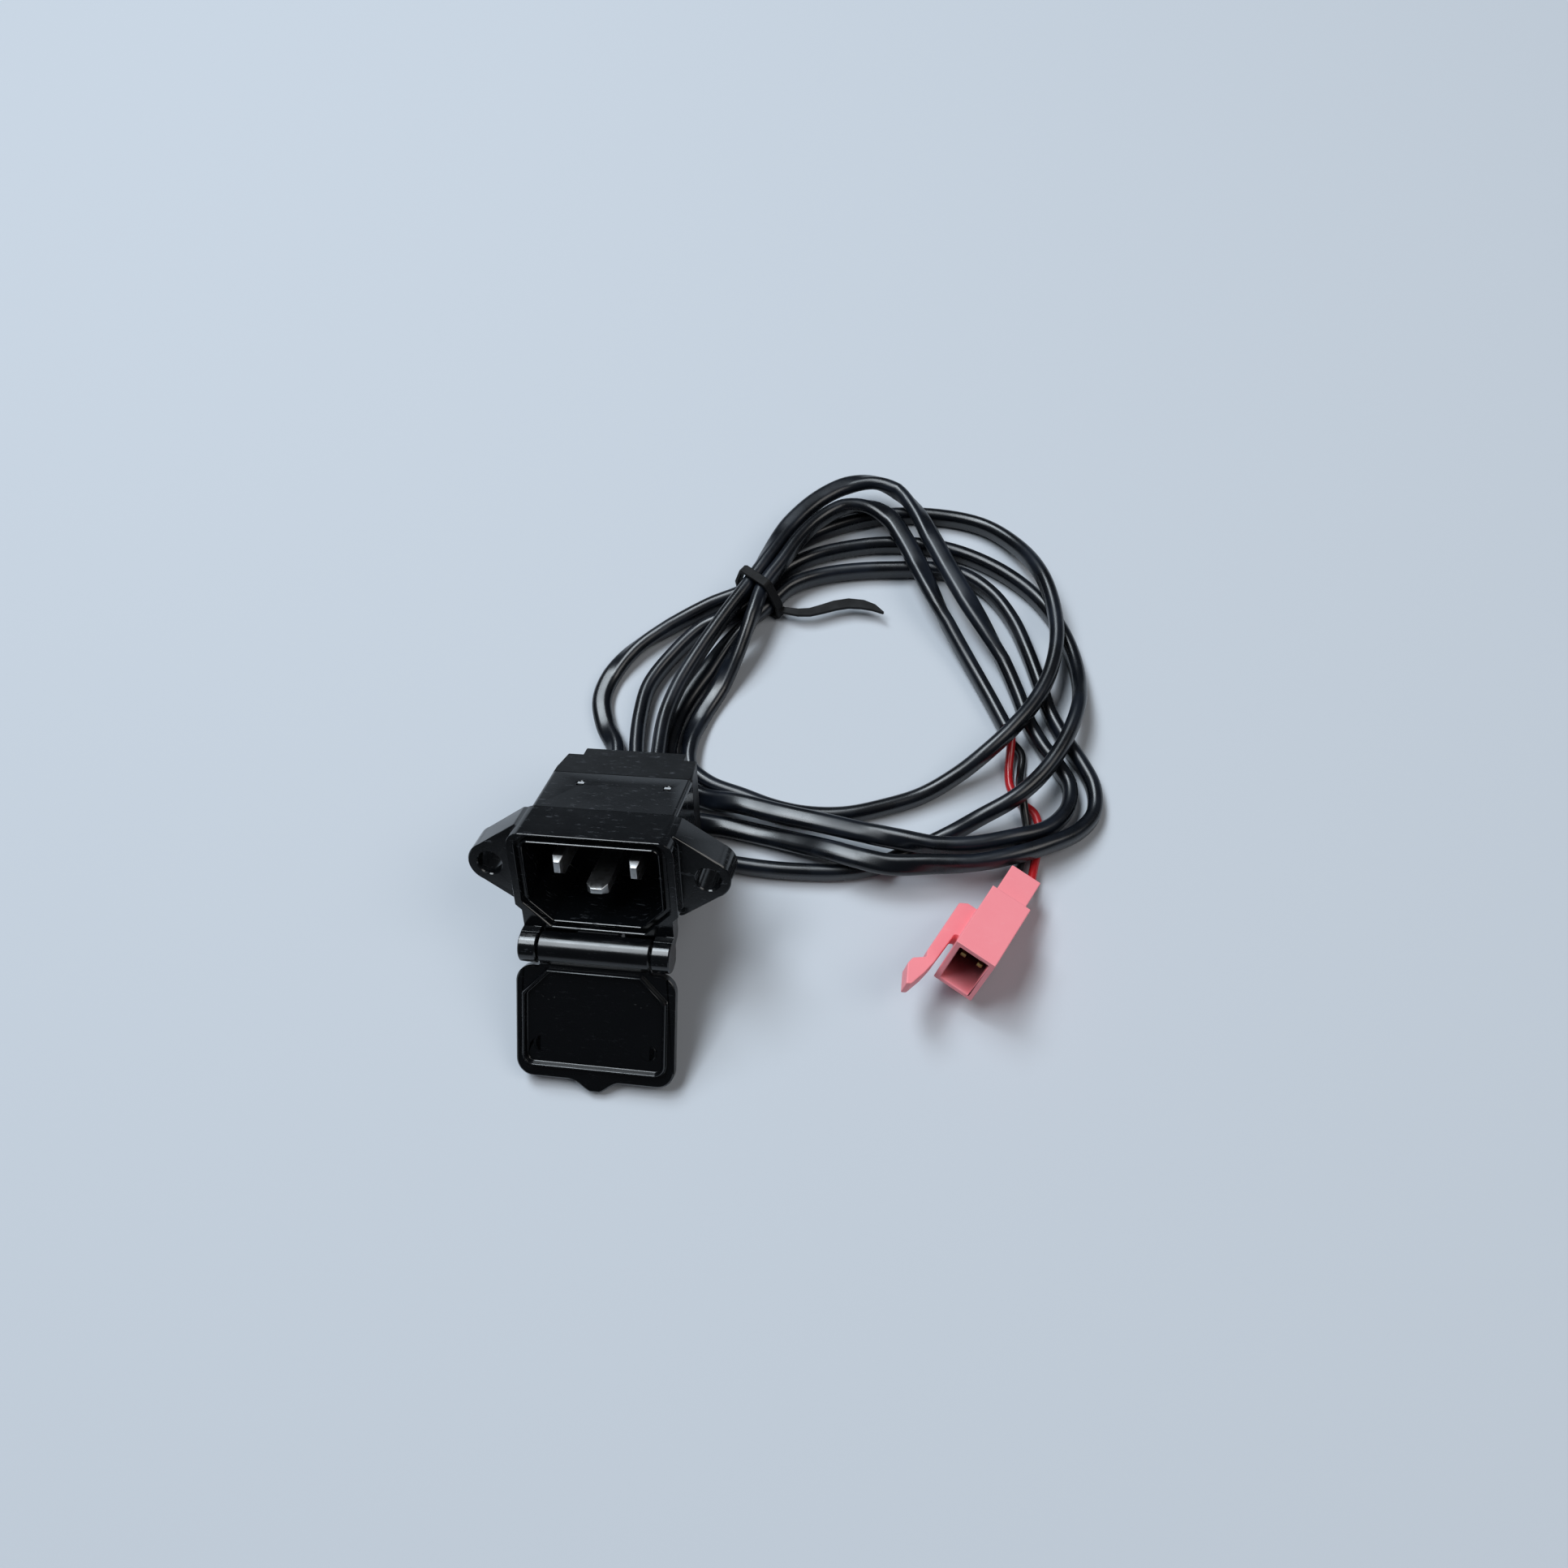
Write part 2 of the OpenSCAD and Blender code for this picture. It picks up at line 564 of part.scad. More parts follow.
// Cover as it lies when closed, before its bore and marks are cut
module cover_blank() {
    prism_y(plate_in - plate_t, plate_t) {
        round_rect([-cover_w / 2, plate_low], [cover_w / 2, plate_top], plate_r);
        polygon(concat([[4.8, plate_top - 1], [-4.8, plate_top - 1]], [for (k = [-10:10])
            [0.48 * k, plate_top + tab_out * min(1, 0.55 + 0.55 * cos(k * 18))]]));
    }
    prism_y(plate_in - eps, plate_gap + tongue_in + eps)
        difference() {
            cavity_outline(tongue_off + tongue_w);
            cavity_outline(tongue_off);
        }
    bar_x(-bridge_w / 2, bridge_w, barrel_d / 2, [hinge_y, hinge_z]);
    translate([-bridge_w / 2, plate_in - plate_t, hinge_z])
        cube([bridge_w, plate_t, plate_low - hinge_z + 0.5]);
    turned(-cover_open)
        translate([-stop_w / 2, hinge_y + 1.5, -collar_h / 2 - stop_gap - stop_t])
            cube([stop_w, stop_reach - 1.5, stop_t]);
}

module flip_cover() {
    color("#202123")
        seated()
            turned(cover_open)
                difference() {
                    cover_blank();
                    bar_x(-hinge_w, 2 * hinge_w, pin_d / 2 + hinge_play, [hinge_y, hinge_z]);
                    // shallow round moulding marks
                    for (p = [[-8.6, 8], [8.6, 8], [-10, 18], [10, 18]])
                        translate([p[0], plate_in - 0.12, hinge_z + p[1]])
                            rotate([-90, 0, 0])
                                cylinder(r = 1.5, h = 1);
                }
}

module hinge_pin() {
    color("#a9adb2")
        seated()
            bar_x(-hinge_w / 2 + 0.2, hinge_w - 0.9, pin_d / 2, [hinge_y, hinge_z]);
}

// Upright blade with a solder cup behind the floor
module blade(x) {
    tail = floor_back + 1.4;
    translate([x, 0, pin_rise])
        difference() {
            union() {
                intersection() {
                    prism_x(-blade_t / 2, blade_t)
                        polygon([[pin_set, 0.9 - blade_w / 2], [pin_set, blade_w / 2 - 0.9],
                            [pin_set + 1.2, blade_w / 2], [tail, blade_w / 2],
                            [tail, -blade_w / 2], [pin_set + 1.2, -blade_w / 2]]);
                    translate([0, 0, -blade_w])
                        linear_extrude(2 * blade_w)
                            polygon([[0.45 - blade_t / 2, pin_set], [blade_t / 2 - 0.45, pin_set],
                                [blade_t / 2, pin_set + 1.2], [blade_t / 2, tail],
                                [-blade_t / 2, tail], [-blade_t / 2, pin_set + 1.2]]);
                }
                prism_y(tail - 0.4, 3)
                    circle(core_d / 2 + 0.4);
            }
            prism_y(tail + 0.4, 4)
                circle(core_d / 2);
        }
}

module line_pin() {
    color("#c9ccd0")
        seated()
            blade(-pin_pitch / 2);
}

module neutral_pin() {
    color("#c9ccd0")
        seated()
            blade(pin_pitch / 2);
}

module earth_pin() {
    tail = floor_back + 2;
    color("#c9ccd0")
        seated()
            translate([0, 0, -pin_rise])
                intersection() {
                    prism_x(-blade_w / 2, blade_w)
                        polygon([[earth_set, 0.5 - blade_t / 2], [earth_set, blade_t / 2 - 0.5],
                            [earth_set + 1.2, blade_t / 2], [tail, blade_t / 2],
                            [tail, -blade_t / 2], [earth_set + 1.2, -blade_t / 2]]);
                    translate([0, 0, -blade_t])
                        linear_extrude(2 * blade_t)
                            polygon([[1 - blade_w / 2, earth_set], [blade_w / 2 - 1, earth_set],
                                [blade_w / 2, earth_set + 1.2], [blade_w / 2, tail],
                                [-blade_w / 2, tail], [-blade_w / 2, earth_set + 1.2]]);
                }
}

// Shrink sleeve over a solder cup
module sleeve(x) {
    translate([x, 0, pin_rise])
        prism_y(floor_back + 1.5, 3.2)
            difference() {
                circle(core_d / 2 + 0.75);
                circle(core_d / 2 + 0.4);
            }
}

module line_sleeve() {
    color("#2b2b2e")
        seated()
            sleeve(-pin_pitch / 2);
}

module neutral_sleeve() {
    color("#2b2b2e")
        seated()
            sleeve(pin_pitch / 2);
}

// Core between a solder cup and the strain relief
module core(x, end_z) {
    from = floor_back + 1.8;
    to = cap_end - cap_wall - 0.2;
    // x, y and z of the core after a share of its way across and a share of its way down
    function on_way(across, y, down) =
        [x + (lead_shift - x) * across, y, pin_rise + (end_z - pin_rise) * down];
    route = [on_way(0, from, 0), on_way(0, from + 3, 0), on_way(0.04, from + 4.4, 0.06),
        on_way(0.22, from + 5.8, 0.4), on_way(0.6, to - 2.5, 0.8), on_way(0.92, to - 1.5, 1),
        on_way(1, to - 0.7, 1), on_way(1, to, 1)];
    polyhedron(swept_points(route, round_section(core_d, 8)), swept_faces(len(route), 8), 4);
}

module red_core() {
    color("#b3221f")
        seated()
            core(-pin_pitch / 2, core_d * 0.58);
}

module black_core() {
    color("#151516")
        seated()
            core(pin_pitch / 2, -core_d * 0.58);
}

module strain_relief() {
    color("#18181a")
        seated() {
            prism_y(cap_end - cap_wall - 0.2, cap_wall + neck_len + 0.2 + eps)
                translate([lead_shift, 0])
                    oval(relief_w, relief_h);
            prism_y(neck_end, relief_lip)
                translate([lead_shift, 0])
                    oval(relief_w + 0.8, relief_h + 0.8);
        }
}

module lead() {
    color("#131416")
        polyhedron([for (i = [0:len(lead_route) - 1]) for (q = upright_section(lead_w, lead_t))
            placed(lead_route, i, rolled(q, lookup(i, lead_roll)))], swept_faces(len(lead_route), 12), 4);
}

module red_wire() {
    color("#c3302b")
        polyhedron(swept_points(red_route, round_section(core_d, 8)), swept_faces(len(red_route), 8), 4);
}

module black_wire() {
    color("#141415")
        polyhedron(swept_points(black_route, round_section(core_d, 8)), swept_faces(len(black_route), 8), 4);
}

// Sets the plug on the table, its open front along its own +X
module plugged() {
    translate(plug_at)
        rotate(plug_turn)
            children();
}

module plug_housing() {
    back = plug_len - plug_open;
    side = -plug_w / 2;
    color("#e0706a")
        plugged()
            difference() {
                union() {
                    translate([0, -plug_w / 2, -plug_h / 2])
                        cube([plug_len, plug_w, plug_h]);
                    translate([-plug_neck, neck_inset - plug_w / 2, -plug_neck_h / 2])
                        cube([plug_neck + 1, plug_w - 2 * neck_inset, plug_neck_h]);
                    // latch arm with its hook
                    translate([0, 0, -4.8])
                        linear_extrude(3.6)
                            polygon([[0.6, side + 1], [0.6, side - 2], [1.6, side - 3.4],
                                [plug_len - 0.4, side - 3.4], [plug_len + 0.8, side - 2.9],
                                [plug_len + 2.6, side - 4.8], [plug_len + 4.2, side - 5],
                                [plug_len + 8, side - 3.2], [plug_len + 7.4, side - 2.4],
                                [plug_len + 4, side - 1.6], [plug_len + 1, side - 1.2],
                                [8.4, side - 0.9], [8, side - 0.4], [8, side + 1]]);
                }
                // open front
                translate([back, plug_wall - plug_w / 2, plug_wall - plug_h / 2])
                    cube([plug_open + 1, plug_w - 2 * plug_wall, plug_h - 2 * plug_wall]);
                for (v = [-wire_pitch / 2, wire_pitch / 2])
                    translate([-plug_neck + 1, v - 0.55, -0.55])
                        cube([plug_len, 1.1, 1.1]);
            }
}

// Square contact pin in the plug's open front
module contact(v) {
    plugged()
        translate([-plug_neck + 1, v - 0.55, -0.55])
            cube([plug_neck + plug_len - 4, 1.1, 1.1]);
}

module red_contact() {
    color("#c7a24b")
        contact(wire_pitch / 2);
}

module black_contact() {
    color("#c7a24b")
        contact(-wire_pitch / 2);
}

// Loop of the tie, grown by a margin
module tie_loop(grow) {
    w = tie_in_w / 2 + grow;
    t = tie_top_w / 2 + 0.6 * grow;
    low = tie_in_z[0] - grow;
    top = tie_in_z[1] + grow;
    knee = tie_knee + 0.3 * grow;
    polygon([[1 - w, low], [w - 1, low], [w, low + 1], [w, knee], [t, top - 0.6], [t - 0.8, top],
        [0.8 - t, top], [-t, top - 0.6], [-w, knee], [-w, low + 1]]);
}

module cable_tie() {
    side = tie_in_w / 2 + tie_t;
    last = len(tie_tail) - 1;
    // point on one edge of the tail
    function tail_edge(i, way) =
        let (a = tie_tail[max(i - 1, 0)], b = tie_tail[min(i + 1, last)],
            u = unit([b[0] - a[0], b[1] - a[1]]))
        [tie_tail[i][0], tie_tail[i][1]] + way * tie_tail[i][2] * [-u[1], u[0]];
    color("#17181a")
        translate([tie_at[0], tie_at[1], 0])
            rotate([0, 0, tie_heading - 90]) {
                prism_y(-tie_w / 2, tie_w)
                    difference() {
                        tie_loop(tie_t);
                        tie_loop(0);
                    }
                translate([side, 0, 2.4])
                    linear_extrude(tie_t)
                        polygon(concat([for (i = [0:last]) tail_edge(i, 1)],
                            [for (i = [last:-1:0]) tail_edge(i, -1)]));
            }
}

inlet_housing();
rear_cap();
flip_cover();
hinge_pin();
line_pin();
neutral_pin();
earth_pin();
line_sleeve();
neutral_sleeve();
red_core();
black_core();
strain_relief();
lead();
red_wire();
black_wire();
plug_housing();
red_contact();
black_contact();
cable_tie();
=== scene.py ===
"""Charging port socket with a flip cover, a coiled flat lead and a latching plug.

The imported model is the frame. Each class below dresses one sub-assembly of it: it rounds the
moulded edges, sweeps the lead and its wires along their routes and gives every piece its finish.
Lengths are in millimetres in the fields and become metres where a mesh is made.
"""
from __future__ import annotations

import logging
import math
from dataclasses import dataclass
from enum import Enum
from typing import Any, Callable, Iterable, Sequence

import bmesh
import bpy
from mathutils import Matrix, Vector


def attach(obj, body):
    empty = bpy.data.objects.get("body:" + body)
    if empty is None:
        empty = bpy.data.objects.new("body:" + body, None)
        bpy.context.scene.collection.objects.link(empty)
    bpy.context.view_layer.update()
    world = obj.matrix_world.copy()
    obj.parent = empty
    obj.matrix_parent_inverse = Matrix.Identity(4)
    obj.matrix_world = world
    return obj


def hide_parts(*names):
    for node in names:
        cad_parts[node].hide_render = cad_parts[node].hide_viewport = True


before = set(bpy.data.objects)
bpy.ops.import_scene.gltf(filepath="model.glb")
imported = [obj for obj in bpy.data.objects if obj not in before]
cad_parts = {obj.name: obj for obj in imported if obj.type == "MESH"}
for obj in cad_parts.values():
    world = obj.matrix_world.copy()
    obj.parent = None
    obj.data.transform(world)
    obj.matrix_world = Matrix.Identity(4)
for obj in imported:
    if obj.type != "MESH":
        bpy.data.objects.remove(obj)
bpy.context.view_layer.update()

LOG = logging.getLogger("charging_port")
MM = 0.001
Point = tuple[float, float, float]
# how a node's mesh is cleaned, rounded and shaded
JOIN_MM = 0.002
SLIVER_MM = 0.06
FLAT_DEG = 0.5
CORNER_DEG = 32
SMOOTH_DEG = 38


class Body(str, Enum):
    """Rigid bodies that the pieces ride on."""

    SOCKET = "socket"
    COVER = "cover"


class Section(Enum):
    """Cross-sections that a route can be swept with."""

    FLAT = "flat"
    ROUND = "round"


# small helpers


def linear(hex_colour: str) -> tuple[float, float, float, float]:
    """Turns an sRGB hex colour into linear light.

    Args:
        hex_colour: Colour such as "#1c1d1f".

    Returns:
        Red, green, blue and an alpha of 1.
    """
    parts = [int(hex_colour[i:i + 2], 16) / 255 for i in (1, 3, 5)]
    light = [c / 12.92 if c <= 0.04045 else ((c + 0.055) / 1.055) ** 2.4 for c in parts]
    return (light[0], light[1], light[2], 1.0)


def add_node(tree: bpy.types.NodeTree, kind: str, settings: dict[str, Any] | None = None,
             inputs: dict[str | int, Any] | None = None) -> bpy.types.Node:
    """Adds a node, sets its properties and fills or links its inputs.

    Args:
        tree: Tree that the node goes into.
        kind: Type name of the node.
        settings: Properties of the node.
        inputs: Values or output sockets by input name or number.

    Returns:
        The new node.
    """
    node = tree.nodes.new(kind)
    for key, value in (settings or {}).items():
        setattr(node, key, value)
    for key, value in (inputs or {}).items():
        if isinstance(value, bpy.types.NodeSocket):
            tree.links.new(value, node.inputs[key])
        else:
            node.inputs[key].default_value = value
    return node


def per_metre(size_mm: float) -> float:
    """Noise scale whose features are about size_mm across."""
    return 1.0 / (size_mm * MM)


def to_metres(points: Iterable[Sequence[float]]) -> list[Vector]:
    """Millimetre points as vectors in metres."""
    return [Vector(p) * MM for p in points]


def smooth_route(points: Sequence[Vector], steps: int) -> list[Vector]:
    """Runs a smooth curve through the points of a route.

    Args:
        points: Route points, in order.
        steps: Pieces that each stretch is split into.

    Returns:
        Points of the smooth curve, the first and last as given.
    """
    padded = [points[0] * 2 - points[1], *points, points[-1] * 2 - points[-2]]
    curve: list[Vector] = []
    for a, b, c, d in zip(padded, padded[1:], padded[2:], padded[3:]):
        # centripetal knots keep the curve from swinging out where the spacing changes
        t1 = max((b - a).length, 1e-9) ** 0.5
        t2 = t1 + max((c - b).length, 1e-9) ** 0.5
        t3 = t2 + max((d - c).length, 1e-9) ** 0.5
        for k in range(steps):
            t = t1 + (t2 - t1) * k / steps
            a1 = a * ((t1 - t) / t1) + b * (t / t1)
            a2 = b * ((t2 - t) / (t2 - t1)) + c * ((t - t1) / (t2 - t1))
            a3 = c * ((t3 - t) / (t3 - t2)) + d * ((t - t2) / (t3 - t2))
            b1 = a1 * ((t2 - t) / t2) + a2 * (t / t2)
            b2 = a2 * ((t3 - t) / (t3 - t1)) + a3 * ((t - t1) / (t3 - t1))
            curve.append(b1 * ((t2 - t) / (t2 - t1)) + b2 * ((t - t1) / (t2 - t1)))
    curve.append(points[-1].copy())
    return curve


def link(thing: bpy.types.Object) -> bpy.types.Object:
    """Puts an object into the scene and returns it."""
    bpy.context.scene.collection.objects.link(thing)
    return thing


def new_piece(name: str, mesh: bpy.types.Mesh, material: bpy.types.Material) -> bpy.types.Object:
    """Puts a mesh into the scene at the origin with its finish.

    Args:
        name: Name of the piece.
        mesh: Finished mesh, in the row frame.
        material: Finish of the whole piece.

    Returns:
        The new object.
    """
    mesh.name = name
    mesh.materials.clear()
    mesh.materials.append(material)
    return link(bpy.data.objects.new(name, mesh))


def settle(piece: bpy.types.Object, body: Body, slot: str, *nodes: str) -> bpy.types.Object:
    """Lets a piece ride on its body and stand for its nodes.

    Args:
        piece: Finished piece.
        body: Body that carries it.
        slot: Material slot of the record; not used.
        nodes: Nodes that the piece replaces.

    Returns:
        The same piece.
    """
    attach(piece, body.value)
    if nodes:
        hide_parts(*nodes)
    LOG.info("%s: %d faces, on %s", piece.name, len(piece.data.polygons), body.value)
    return piece


def paint(node: str, material: bpy.types.Material) -> None:
    """Gives a node that stays as it is a better material.

    Args:
        node: Node to paint.
        material: Finish.
    """
    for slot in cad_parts[node].material_slots:
        slot.material = material
    LOG.info("%s: painted %s", node, material.name)


def evaluated_mesh(holder: bpy.types.Object) -> bpy.types.Mesh:
    """Mesh of an object with its modifiers applied; the holder is removed."""
    bpy.context.view_layer.update()
    graph = bpy.context.evaluated_depsgraph_get()
    mesh = bpy.data.meshes.new_from_object(holder.evaluated_get(graph))
    old = holder.data
    bpy.data.objects.remove(holder)
    if old.users == 0:
        bpy.data.meshes.remove(old)
    return mesh


def shaded(mesh: bpy.types.Mesh) -> bpy.types.Mesh:
    """Smooths the roundings of a mesh and keeps its large faces flat to the eye."""
    mesh.shade_smooth()
    mesh.set_sharp_from_angle(angle=math.radians(SMOOTH_DEG))
    holder = link(bpy.data.objects.new("shading", mesh))
    weigh = holder.modifiers.new("normals", "WEIGHTED_NORMAL")
    weigh.keep_sharp = True
    weigh.weight = 100
    return evaluated_mesh(holder)


def rounded_copy(node: str, radius_mm: float, segments: int = 2,
                 width_at: Callable[[Vector], float] | None = None) -> bpy.types.Mesh:
    """Copies a node's mesh, joins its flat faces and rounds its edges.

    Args:
        node: Node to copy.
        radius_mm: Largest edge rounding.
        segments: Strips across each rounded edge.
        width_at: Gives the rounding in millimetres at a point in metres; none means the largest.

    Returns:
        A mesh in the row frame.
    """
    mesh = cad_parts[node].data.copy()
    shape = bmesh.new()
    shape.from_mesh(mesh)
    bmesh.ops.remove_doubles(shape, verts=shape.verts, dist=JOIN_MM * MM)
    bmesh.ops.dissolve_limit(shape, angle_limit=math.radians(FLAT_DEG), verts=shape.verts,
                             edges=shape.edges, use_dissolve_boundaries=False)
    weights = shape.edges.layers.float.new("bevel_weight_edge")
    # an edge that ends in slivers keeps its corner, because its rounding would fold over
    sliver = {v for e in shape.edges if e.calc_length() < SLIVER_MM * MM for v in e.verts}
    corner = math.radians(CORNER_DEG)
    for edge in shape.edges:
        if edge.calc_face_angle(0.0) > corner and not sliver.intersection(edge.verts):
            width = min(width_at(v.co) for v in edge.verts) if width_at else radius_mm
            edge[weights] = width / radius_mm
    shape.to_mesh(mesh)
    shape.free()
    holder = link(bpy.data.objects.new("rounding", mesh))
    bevel = holder.modifiers.new("edges", "BEVEL")
    bevel.width = radius_mm * MM
    bevel.segments = segments
    bevel.limit_method = "WEIGHT"
    bevel.use_clamp_overlap = False
    bevel.miter_outer = "MITER_ARC"
    return shaded(evaluated_mesh(holder))


# finishes


def open_material(name: str) -> tuple[bpy.types.Material, bpy.types.NodeTree]:
    """Starts an empty material.

    Args:
        name: Name of the material.

    Returns:
        The material and its tree.
    """
    material = bpy.data.materials.new(name)
    material.use_nodes = True
    material.node_tree.nodes.clear()
    return material, material.node_tree


def close_material(tree: bpy.types.NodeTree, inputs: dict[str | int, Any]) -> None:
    """Ends a material's tree in a principled shader with these inputs."""
    shader = add_node(tree, "ShaderNodeBsdfPrincipled", {}, inputs)
    add_node(tree, "ShaderNodeOutputMaterial", {}, {"Surface": shader.outputs[0]})


def noise(tree: bpy.types.NodeTree, place: bpy.types.NodeSocket, size_mm: float, detail: float,
          roughness: float = 0.5) -> bpy.types.NodeSocket:
    """Adds noise of a real size.

    Args:
        tree: Tree of the material.
        place: Coordinates, in metres.
        size_mm: Size of the features, about.
        detail: Number of finer layers.
        roughness: Share that each finer layer has.

    Returns:
        The noise, from 0 to 1.
    """
    return add_node(tree, "ShaderNodeTexNoise", {}, {
        "Vector": place, "Scale": per_metre(size_mm), "Detail": detail,
        "Roughness": roughness}).outputs["Fac"]


def ranged(tree: bpy.types.NodeTree, value: bpy.types.NodeSocket, source: tuple[float, float],
           target: tuple[float, float] = (0.0, 1.0)) -> bpy.types.NodeSocket:
    """Stretches a value from one range to another and cuts it off at both ends.

    Args:
        tree: Tree of the material.
        value: Value to stretch.
        source: Lowest and highest value that count.
        target: What they become.

    Returns:
        The stretched value.
    """
    return add_node(tree, "ShaderNodeMapRange", {}, {
        "Value": value, "From Min": source[0], "From Max": source[1],
        "To Min": target[0], "To Max": target[1]}).outputs[0]


def mixed(tree: bpy.types.NodeTree, share: bpy.types.NodeSocket, first: Any,
          second: Any) -> bpy.types.NodeSocket:
    """Colour that goes from the first to the second with the share."""
    # the colour sockets of this node are found by number, because their names come twice
    return add_node(tree, "ShaderNodeMix", {"data_type": "RGBA"}, {
        0: share, 6: first, 7: second}).outputs[2]


def bumped(tree: bpy.types.NodeTree, height: bpy.types.NodeSocket, depth_mm: float, strength: float,
           under: bpy.types.NodeSocket | None = None) -> bpy.types.NodeSocket:
    """Adds a shallow relief.

    Args:
        tree: Tree of the material.
        height: Height of the relief, from 0 to 1.
        depth_mm: Depth that a height of 1 stands for.
        strength: Share of the relief that shows.
        under: Normal of a coarser relief that this one lies on.

    Returns:
        The normal.
    """
    inputs = {"Height": height, "Distance": depth_mm * MM, "Strength": strength}
    if under is not None:
        inputs["Normal"] = under
    return add_node(tree, "ShaderNodeBump", {}, inputs).outputs[0]


@dataclass(frozen=True)
class MouldedPlastic:
    """Injection-moulded plastic: even colour, fine mould grain, handling scuffs."""

    name: str
    base: str
    deep: str
    rough: tuple[float, float] = (0.34, 0.5)
    grain_mm: float = 0.35
    grain_depth_mm: float = 0.012
    mottle_mm: float = 6.0
    scuff: str = "#4b4d50"
    scuff_share: float = 0.0
    streak_mm: float = 2.6
    painted_recess_shade: str = ""
    gloss: float = 0.5
    ior: float = 1.53

    def make(self) -> bpy.types.Material:
        """Builds the material."""
        material, tree = open_material(self.name)
        place = add_node(tree, "ShaderNodeTexCoord").outputs["Object"]
        mottle = noise(tree, place, self.mottle_mm, 4.0, 0.6)
        colour = mixed(tree, mottle, linear(self.base), linear(self.deep))
        rough = ranged(tree, mottle, (0.3, 0.7), self.rough)
        if self.scuff_share > 0:
            # rubbed streaks: noise drawn out along one way and cut to its highest ridges
            turned = add_node(tree, "ShaderNodeMapping", {}, {
                "Vector": place, "Rotation": (0.0, 0.0, 0.7), "Scale": (1.0, 5.0, 1.0)})
            streak = noise(tree, turned.outputs[0], self.streak_mm, 6.0, 0.72)
            rubbed = ranged(tree, streak, (0.59, 0.7), (0.0, self.scuff_share))
            colour = mixed(tree, rubbed, colour, linear(self.scuff))
            rough = add_node(tree, "ShaderNodeMath", {"operation": "ADD"}, {
                0: rough, 1: rubbed}).outputs[0]
        if self.painted_recess_shade:
            # painted shade deep in an opening, darker by the mesh's own measure of depth
            depth = add_node(tree, "ShaderNodeAttribute", {"attribute_name": "depth"})
            colour = mixed(tree, depth.outputs["Fac"], colour, linear(self.painted_recess_shade))
        # mould grain is finer than this in life; it is drawn coarser so that it shows
        grain = noise(tree, place, self.grain_mm, 2.0)
        close_material(tree, {
            "Base Color": colour, "Roughness": rough, "IOR": self.ior, "Specular IOR Level": self.gloss,
            "Normal": bumped(tree, grain, self.grain_depth_mm, 0.6)})
        return material


@dataclass(frozen=True)
class PlatedMetal:
    """Plated or bare metal: bright, with fine draw lines and dull patches."""

    name: str
    base: str
    worn: str
    rough: tuple[float, float] = (0.18, 0.36)
    line_mm: float = 0.3
    line_depth_mm: float = 0.001
    patch_mm: float = 1.6

    def make(self) -> bpy.types.Material:
        """Builds the material."""
        material, tree = open_material(self.name)
        place = add_node(tree, "ShaderNodeTexCoord").outputs["Object"]
        along = add_node(tree, "ShaderNodeMapping", {}, {"Vector": place, "Scale": (1.0, 0.12, 1.0)})
        lines = noise(tree, along.outputs[0], self.line_mm, 3.0)
        dull = ranged(tree, noise(tree, place, self.patch_mm, 4.0), (0.48, 0.66))
        close_material(tree, {
            "Base Color": mixed(tree, dull, linear(self.base), linear(self.worn)), "Metallic": 1.0,
            "Roughness": ranged(tree, lines, (0.3, 0.7), self.rough),
            "Normal": bumped(tree, lines, self.line_depth_mm, 0.2)})
        return material


@dataclass(frozen=True)
class CableJacket:
    """Extruded soft PVC: glossy, faintly wavy along its run, with dry hazy stretches."""

    name: str
    base: str
    haze: str
    rough: tuple[float, float] = (0.2, 0.36)
    haze_mm: float = 11.0
    wave_mm: float = 7.0
    wave_depth_mm: float = 0.25
    drag_mm: float = 0.5
    drag_depth_mm: float = 0.004
    ior: float = 1.53

    def make(self) -> bpy.types.Material:
        """Builds the material."""
        material, tree = open_material(self.name)
        place = add_node(tree, "ShaderNodeTexCoord").outputs["Object"]
        haze = noise(tree, place, self.haze_mm, 5.0, 0.62)
        dry = ranged(tree, haze, (0.42, 0.68))
        # slow waves from the extruder and a fine drag grain, both far shallower than the wall
        waves = bumped(tree, noise(tree, place, self.wave_mm, 1.0), self.wave_depth_mm, 0.35)
        drag = bumped(tree, noise(tree, place, self.drag_mm, 2.0), self.drag_depth_mm, 0.4, waves)
        close_material(tree, {
            "Base Color": mixed(tree, dry, linear(self.base), linear(self.haze)),
            "Roughness": ranged(tree, haze, (0.35, 0.7), self.rough), "IOR": self.ior, "Normal": drag})
        return material


# glass-filled nylon of the inlet: satin, with grey rub marks on its top
HOUSING = MouldedPlastic("satin_black_nylon", "#0a0c0e", "#060709", rough=(0.12, 0.18),
                         grain_depth_mm=0.004, scuff="#4a4e54", scuff_share=0.5)
# the cap is the same resin from another mould, a little duller
CAP = MouldedPlastic("matt_black_nylon", "#0b0d0f", "#07080a", rough=(0.4, 0.54),
                     grain_depth_mm=0.004, scuff="#6a6e74", scuff_share=0.6, gloss=0.2)
# the cover is polypropylene: waxier and smoother than the inlet's nylon
COVER = MouldedPlastic("waxy_black_polypropylene", "#07080a", "#050608", rough=(0.17, 0.26),
                       grain_depth_mm=0.006, scuff="#33363b", scuff_share=0.16, ior=1.49)
# moulded rubber of the strain relief
RELIEF = MouldedPlastic("black_moulded_rubber", "#0d0d0f", "#09090a", rough=(0.5, 0.66), ior=1.5)
# nylon strap of the tie, dulled by handling
STRAP = MouldedPlastic("black_nylon_strap", "#08080a", "#060607", rough=(0.6, 0.75),
                       mottle_mm=3.0, ior=1.36)
# shrink sleeve over the solder joints
SLEEVE = MouldedPlastic("black_shrink_sleeve", "#121214", "#0c0c0e", rough=(0.4, 0.55))
